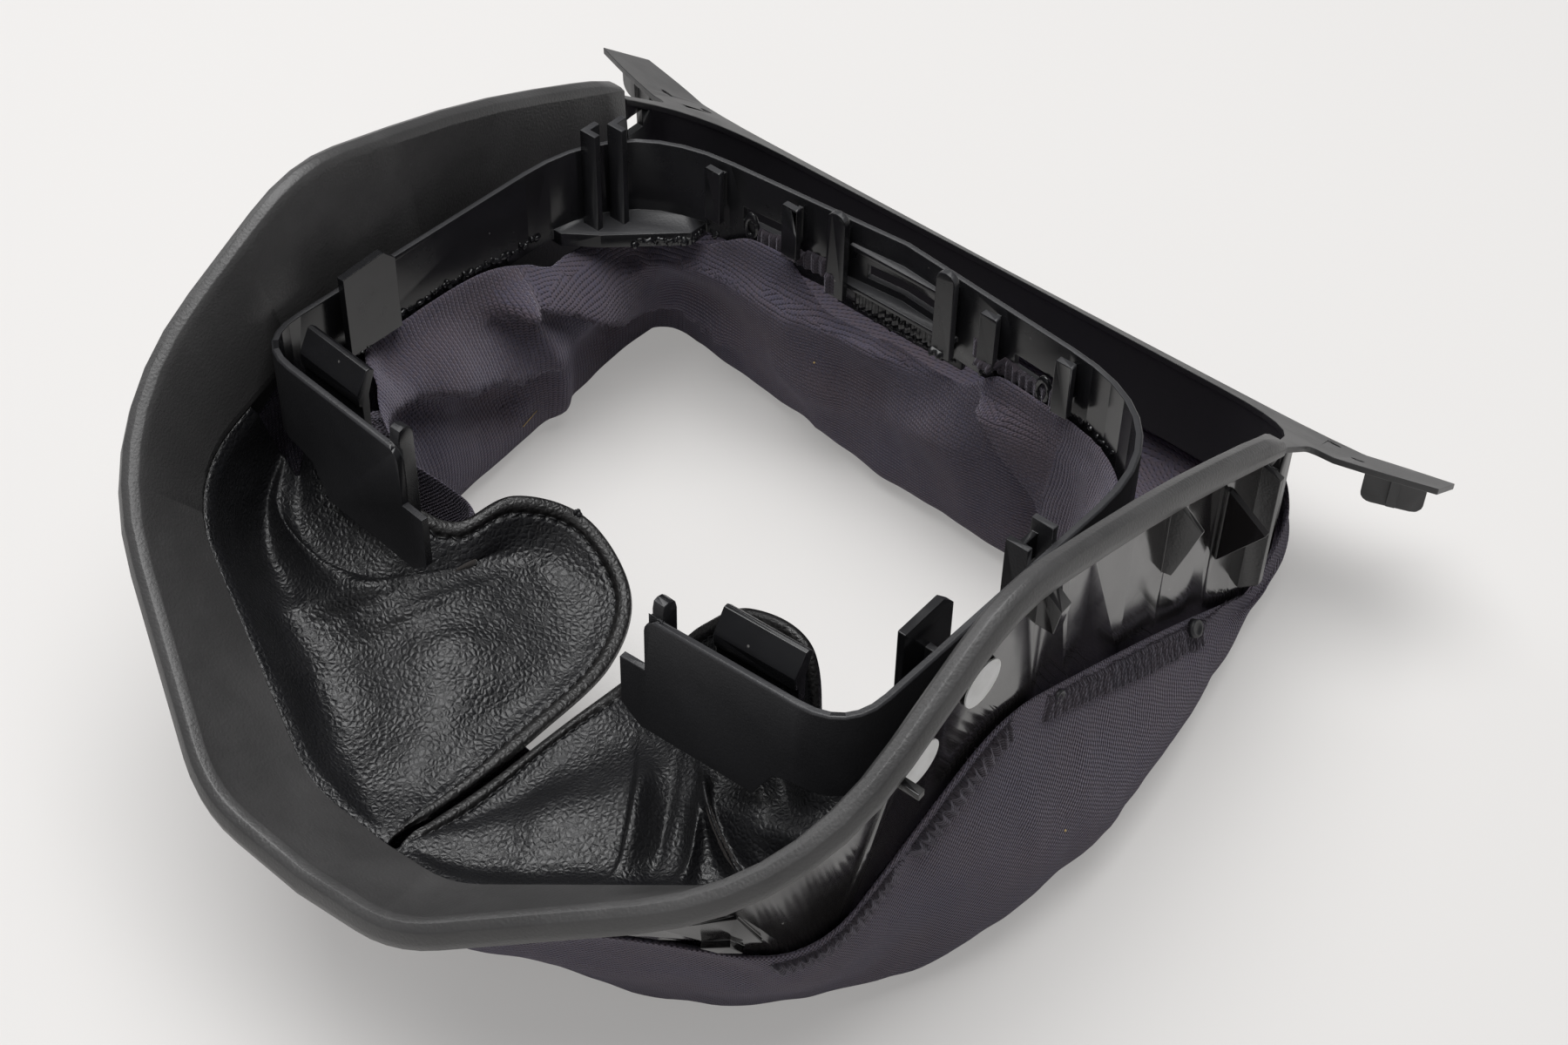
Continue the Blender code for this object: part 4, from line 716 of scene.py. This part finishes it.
def map_knit(bm):
    """Lay the stitches out: ribs that run down the sides and along the back, and a lattice on the skirt."""
    cloth = bm.loops.layers.uv.new("cloth")
    for face in bm.faces:
        centre = face.calc_center_median() - knit_middle
        inner = face.normal.dot(Vector((centre.x, centre.y, 0.0))) < 0.0
        half_x, half_y = trough_half if inner else skirt_half
        whole = 4.0 * (half_x + half_y)
        home = way_round(centre, half_x, half_y)
        level = abs(face.normal.z) > 0.75
        bearing = math.degrees(math.atan2(centre.y, centre.x)) % 360.0
        corner = 0.023 + max(0.0, (trough_half[1] - centre.y)) * 0.75
        along = inner and (44.0 < bearing < 136.0 or (136.0 <= bearing < 166.0 and centre.z > corner))
        face.material_index = 0 if inner else 1
        for loop in face.loops:
            place = loop.vert.co - knit_middle
            way = way_round(place, half_x, half_y)
            if way - home > whole / 2:
                way -= whole
            if home - way > whole / 2:
                way += whole
            down = place.xy.length if level else place.z
            loop[cloth].uv = (down, way) if along else (way, down)


def knit_sleeve():
    bm = merged_copy("knit_sleeve")
    bmesh.ops.join_triangles(bm, faces=bm.faces, angle_face_threshold=math.radians(40.0),
                             angle_shape_threshold=math.radians(60.0))
    made = piece("knit_sleeve_cloth", bm, [knit_finish, skirt_finish])
    finer = made.modifiers.new("finer", "SUBSURF")
    finer.levels = finer.render_levels = 2
    settled(made)
    bm = bmesh.new()
    bm.from_mesh(made.data)
    close = {vert for vert in bm.verts if crease_reach(vert.co)[1] < 7.0 * MM}
    creased = [edge for edge in bm.edges if close.issuperset(edge.verts)]
    bmesh.ops.subdivide_edges(bm, edges=creased, cuts=1, use_grid_fill=True)
    for vert in bm.verts:
        vert.co += knit_shift(vert.co)
    bm.normal_update()
    map_knit(bm)
    bm.to_mesh(made.data)
    bm.free()
    made.data.shade_smooth()
    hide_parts("knit_sleeve")
    return made


knit = knit_sleeve()


# Welds: strips of knit pressed on in ridges, frayed yarn, melted beads and small plastic studs

def ribbed_strip(name, tree, path, outward, reach, pitch, ridge, slant=0.0, seed=1.0, finish=weld_finish):
    """A strip pressed in ridges on the face that looks outward; reach goes from its upper edge down."""
    step = 0.42 * MM
    ends = even_points([Vector(point) * MM for point in path], step)
    outward = Vector(outward).normalized()
    across = 17
    bm = bmesh.new()
    upper, lower, where = [], [], {}
    for index, place in enumerate(ends):
        ahead = ends[min(index + 1, len(ends) - 1)] - ends[max(index - 1, 0)]
        down = outward.cross(ahead).normalized()
        if down.z > 0.0:
            down = -down
        run = index * step
        upper_row, lower_row = [], []
        for column in range(across):
            part = column / (across - 1)
            wander = noise.noise(Vector((run * 160.0, part * 2.0, seed))) * 1.1 * MM
            spot = place + down * (part * reach * MM + wander * (part - 0.5))
            hit = tree.ray_cast(spot + outward * 12.0 * MM, -outward, 24.0 * MM)
            base, normal = (hit[0], hit[1]) if hit[0] is not None else tree.find_nearest(spot)[:2]
            turn = 2.0 * math.pi * (run / (pitch * MM) + slant * part
                                    + noise.noise(Vector((run * 90.0, 0.0, seed))) * 0.35)
            wave = (0.5 + 0.5 * math.sin(turn)) ** 0.8
            edge = smoothstep(part / 0.14) * smoothstep((1.0 - part) / 0.14)
            end = smoothstep(min(index, len(ends) - 1 - index) / 4.0)
            rough = noise.noise(spot * 900.0) * 0.14
            lift = (0.55 + ridge * wave + rough) * edge * end * MM
            upper_row.append(bm.verts.new(base + outward * lift))
            lower_row.append(bm.verts.new(base - outward * 0.6 * MM))
            where[upper_row[-1]] = where[lower_row[-1]] = (run, part * reach * MM)
        upper.append(upper_row)
        lower.append(lower_row)
    closed_slab(bm, upper, lower, lambda row, column: (0, 0), 0)
    cloth = bm.loops.layers.uv.new("cloth")
    for face in bm.faces:
        for loop in face.loops:
            loop[cloth].uv = where[loop.vert]
    return piece(name, bm, [finish])


def yarn_tufts(name, tree, path, per_mm, length, lean, finish, seed):
    """Short ends of cut yarn standing out along an edge."""
    dice = random.Random(seed)
    bm = bmesh.new()
    for place in even_points([Vector(point) * MM for point in path], 1.0 / per_mm * MM):
        place = place + jitter(dice, 0.5) * MM
        near = tree.find_nearest(place)
        way = near[1] * 0.6 + Vector(lean) + jitter(dice, 0.5)
        size = length * dice.uniform(0.5, 1.2) * MM
        bmesh.ops.create_cone(bm, cap_ends=True, segments=5, radius1=0.26 * MM, radius2=0.08 * MM, depth=size,
                              matrix=standing(near[0] + way.normalized() * size * 0.35, way))
    return piece(name, bm, [finish])


def melted_beads(name, tree, path, step, size, seed):
    """A ragged row of melted plastic along an edge."""
    dice = random.Random(seed)
    bm = bmesh.new()
    for place in even_points([Vector(point) * MM for point in path], step * MM):
        place = place + jitter(dice, 0.7) * MM
        near = tree.find_nearest(place)
        big = size * dice.uniform(0.6, 1.25) * MM
        shape = Matrix.Diagonal((big * dice.uniform(0.8, 1.5), big * 0.7, big * dice.uniform(0.8, 1.6), 1.0))
        turn = near[1].to_track_quat("Y", "Z").to_matrix().to_4x4()
        made = bmesh.ops.create_icosphere(bm, subdivisions=2, radius=1.0,
                                          matrix=Matrix.Translation(near[0]) @ turn @ shape)
        for vert in made["verts"]:
            vert.co += (vert.co - near[0]) * noise.noise(vert.co * 900.0) * 1.1
    return piece(name, bm, [melted])


def round_stud(bm, place, normal, radius, height):
    """A low round stud with a dished top."""
    place, normal = Vector(place) * MM, Vector(normal)
    made = bmesh.ops.create_cone(bm, cap_ends=True, segments=28, radius1=radius * MM,
                                 radius2=radius * 0.92 * MM, depth=height * MM,
                                 matrix=standing(place, normal))
    top = max((face for vert in made["verts"] for face in vert.link_faces),
              key=lambda face: (face.calc_center_median() - place).dot(normal))
    bmesh.ops.inset_region(bm, faces=[top], thickness=radius * 0.25 * MM, depth=0.0)
    bmesh.ops.inset_region(bm, faces=[top], thickness=radius * 0.15 * MM, depth=-0.35 * MM)


# The upper edge of the knit on the outside of the right wall, in millimetres, in its three welded runs
skirt_edge_rear = ((110.9, -6.5, 80.6), (111.2, 7.5, 73.4), (111.6, 19.0, 66.6), (112.0, 32.5, 58.8),
                   (112.4, 44.5, 51.6), (113.0, 58.5, 42.6), (114.0, 72.0, 34.0))
skirt_edge_middle = ((110.6, -21.0, 87.4), (110.2, -27.0, 87.0), (109.8, -35.5, 85.0), (109.4, -44.5, 80.9),
                     (109.0, -53.5, 76.4), (108.8, -58.0, 73.8))
skirt_edge_front = ((108.6, -62.5, 72.8), (108.2, -71.5, 69.4), (107.4, -79.5, 66.4), (105.6, -86.0, 64.2),
                    (101.8, -91.5, 62.6), (98.0, -95.5, 61.0))
skirt_edge_end = ((113.5, 80.0, 31.0), (113.0, 92.0, 24.0))
knit_copy = bmesh.new()
knit_copy.from_mesh(knit.data)
knit_surface = BVHTree.FromBMesh(knit_copy)
knit_copy.free()
strips = [
    ribbed_strip("weld_strip_rear", knit_surface, skirt_edge_rear, (1, 0, 0), 7.0, 1.9, 0.75,
                 slant=0.8, seed=1.0),
    ribbed_strip("weld_strip_middle", knit_surface, skirt_edge_middle, (1, -0.05, 0), 7.0, 3.1, 1.3,
                 seed=2.0),
    ribbed_strip("weld_strip_front", knit_surface, skirt_edge_front, (0.86, -0.5, 0), 6.5, 2.4, 1.0,
                 slant=0.4, seed=3.0),
    ribbed_strip("collar_strip_left", collar_surface, ((-46, 80.2, 76.5), (-30, 81, 77), (-15.5, 81, 78)),
                 (0, -1, 0), 6.5, 2.5, 0.9, seed=4.0),
    ribbed_strip("collar_strip_right", collar_surface, ((29, 79.5, 81), (45, 77, 82), (61, 74.5, 83)),
                 (-0.15, -1, 0), 6.5, 2.5, 0.9, seed=5.0),
    yarn_tufts("frayed_skirt_edge", knit_surface, skirt_edge_rear + skirt_edge_end, 1.3, 1.6, (0.2, 0.0, 0.7),
               weld_finish, 11),
    yarn_tufts("frayed_front_edge", knit_surface, skirt_edge_middle + skirt_edge_front, 1.2, 1.5,
               (0.3, 0.0, 0.6), weld_finish, 12)]
for label, path, step, size, seed in (
        ("left", ((-94, -27, 81.5), (-97, -7, 78.4), (-97, 7, 77.6), (-96, 20, 75.6), (-95.5, 30, 72.5),
                  (-95, 42, 71.5)), 1.15, 0.85, 21),
        ("corner", ((-75, 62, 67.5), (-66, 70, 67), (-60, 77, 67)), 1.4, 1.0, 22),
        ("back", ((-13, 81.5, 65.5), (4, 80.8, 66.2), (24, 79.8, 67.2)), 1.3, 0.95, 23),
        ("right", ((33, 78, 72), (44, 77, 76), (64, 72.5, 79), (80, 68, 79.5)), 2.2, 0.8, 24)):
    melted_beads("collar_weld_beads_" + label, collar_surface, path, step, size, seed)
ribbed_strip("collar_serrated_plate", collar_surface, ((-12, 81, 73.5), (6, 81, 74), (23, 79.5, 75)),
             (0, -1, 0), 6.5, 2.2, 1.1, seed=6.0, finish=collar_gloss)


def staple(bm, place, way):
    """An oval ring of melted plastic lying on a face."""
    ring_radius, wire_radius, stretch = 1.9 * MM, 0.75 * MM, 1.9
    upright = Matrix.Translation((ring_radius, 0, 0)) @ Matrix.Rotation(math.pi / 2, 4, "X")
    ring = bmesh.ops.create_circle(bm, segments=10, radius=wire_radius, matrix=upright)
    edges = {edge for vert in ring["verts"] for edge in vert.link_edges}
    bmesh.ops.spin(bm, geom=ring["verts"] + list(edges), cent=(0, 0, 0), axis=(0, 0, 1),
                   angle=2.0 * math.pi, steps=24, use_merge=True)
    made = {vert for vert in bm.verts if not vert.tag}
    oval = Matrix.Diagonal((1.0, stretch, 1.0, 1.0))
    bmesh.ops.transform(bm, matrix=standing(Vector(place) * MM, way) @ oval, verts=list(made))
    for vert in made:
        vert.tag = True


def staples():
    bm = bmesh.new()
    staple(bm, (-47.3, 80.0, 75.6), (0.0, -1.0, 0.1))
    staple(bm, (54.1, 75.0, 80.4), (-0.15, -1.0, 0.1))
    bmesh.ops.remove_doubles(bm, verts=bm.verts, dist=0.01 * MM)
    bmesh.ops.recalc_face_normals(bm, faces=bm.faces)
    return piece("collar_staples", bm, [melted])


def lint():
    """A loose straw-coloured thread and two specks on the knit."""
    bm = bmesh.new()
    hit = knit_surface.ray_cast(Vector((-60, 27, 14)) * MM, Vector((-1, 0, 0)))
    bmesh.ops.create_cone(bm, cap_ends=True, segments=6, radius1=0.14 * MM, radius2=0.10 * MM, depth=6.5 * MM,
                          matrix=standing(hit[0] + hit[1] * 0.25 * MM, (0.0, 1.0, 0.25)))
    for spot, way in (((-20, 60, 44), (0, 1, 0)), ((130, -8, 36), (-1, 0, 0))):
        hit = knit_surface.ray_cast(Vector(spot) * MM, Vector(way))
        bmesh.ops.create_icosphere(bm, subdivisions=1, radius=0.38 * MM, matrix=Matrix.Translation(hit[0]))
    return piece("knit_lint", bm, [lint_finish])


def hem_knot():
    """The knotted end of the hem's thread on the left half."""
    bm = bmesh.new()
    top = Vector((-29.5, -17.5, 56.5)) * MM
    near = left_seam[min(range(len(left_seam)), key=lambda index: (left_seam[index][0] - top).length)]
    for turn, size in ((0.0, 1.1), (2.1, 0.9), (4.0, 0.8)):
        round_knot = Vector((math.cos(turn), math.sin(turn), 0.6 * turn))
        spot = near[0] + Vector((0.6, 3.4, 1.2)) * MM + round_knot * 0.5 * MM
        bmesh.ops.create_icosphere(bm, subdivisions=2, radius=size * MM,
                                   matrix=Matrix.Translation(spot) @ Matrix.Diagonal((0.8, 1.0, 1.5, 1.0)))
    for vert in bm.verts:
        vert.co += (vert.co - top) * noise.noise(vert.co * 800.0) * 0.06
    return piece("leather_left_knot", bm, [thread_finish])


def studs():
    bm = bmesh.new()
    round_stud(bm, (114.6, 62.5, 40.2), (0.86, 0.1, 0.5), 2.6, 1.6)
    round_stud(bm, (112.0, -2.0, 77.0), (1.0, 0.0, 0.1), 1.9, 1.4)
    return piece("skirt_weld_studs", bm, [collar_skin])


left_knot = hem_knot()
staples()
strips.append(lint())
studs()


# Stage: the pale table, the lamps and the camera

table_colour = (0.74, 0.726, 0.712, 1.0)
glow_colour = (0.80, 0.785, 0.77, 1.0)
glow_share = 0.37
sky_colour = (0.93, 0.95, 1.0, 1.0)
sky_strength = 0.14
camera_place = Vector((289.4, -332.5, 579.0)) * MM
camera_aim = Vector((0.0, 34.5, 25.0)) * MM


def stage():
    bm = bmesh.new()
    bmesh.ops.create_grid(bm, x_segments=1, y_segments=1, size=3.0)
    mesh = bpy.data.meshes.new("table")
    bm.to_mesh(mesh)
    bm.free()
    table = bpy.data.objects.new("table", mesh)
    table.location.z = cad_box[0][2] - 0.2 * MM
    view.collection.objects.link(table)
    made, tree, surface = finish_of("pale_table")
    surface.inputs["Base Color"].default_value = table_colour
    surface.inputs["Roughness"].default_value = 0.9
    rays = node(tree, "LightPath").outputs
    seen = calc(tree, "MAXIMUM", rays["Is Camera Ray"], rays["Is Glossy Ray"])
    glow = node(tree, "Emission", {"Color": glow_colour, "Strength": 1.0})
    share = calc(tree, "MULTIPLY", seen, glow_share)
    mixed = node(tree, "MixShader", {0: share})
    tree.links.new(surface.outputs[0], mixed.inputs[1])
    tree.links.new(glow.outputs[0], mixed.inputs[2])
    tree.links.new(mixed.outputs[0], tree.nodes["Material Output"].inputs["Surface"])
    mesh.materials.append(made)

    world = bpy.data.worlds.new("studio")
    view.world = world
    world.use_nodes = True
    world.node_tree.nodes["Background"].inputs["Color"].default_value = sky_colour
    world.node_tree.nodes["Background"].inputs["Strength"].default_value = sky_strength

    for name, place, size, power, colour in (
            ("overhead_softbox", (-0.12, 0.10, 1.5), 1.25, 28.0, (1.0, 1.0, 1.0)),
            ("left_softbox", (-1.3, 0.1, 0.7), 0.7, 3.5, (1.0, 1.0, 1.0)),
            ("front_softbox", (0.5, -1.5, 0.8), 0.8, 2.0, (1.0, 0.98, 0.96))):
        lamp = bpy.data.lights.new(name, "AREA")
        lamp.energy = power
        lamp.size = size
        lamp.color = colour
        holder = bpy.data.objects.new(name, lamp)
        holder.location = place
        holder.rotation_euler = (-Vector(place)).to_track_quat("-Z", "Y").to_euler()
        view.collection.objects.link(holder)

    data = bpy.data.cameras.new("camera")
    data.lens = 60.0
    data.sensor_width = 36.0
    data.clip_end = 20.0
    camera = bpy.data.objects.new("camera", data)
    camera.location = camera_place
    camera.rotation_euler = (camera_aim - camera_place).to_track_quat("-Z", "Y").to_euler()
    view.collection.objects.link(camera)
    view.camera = camera
    view.view_settings.view_transform = "Standard"


stage()
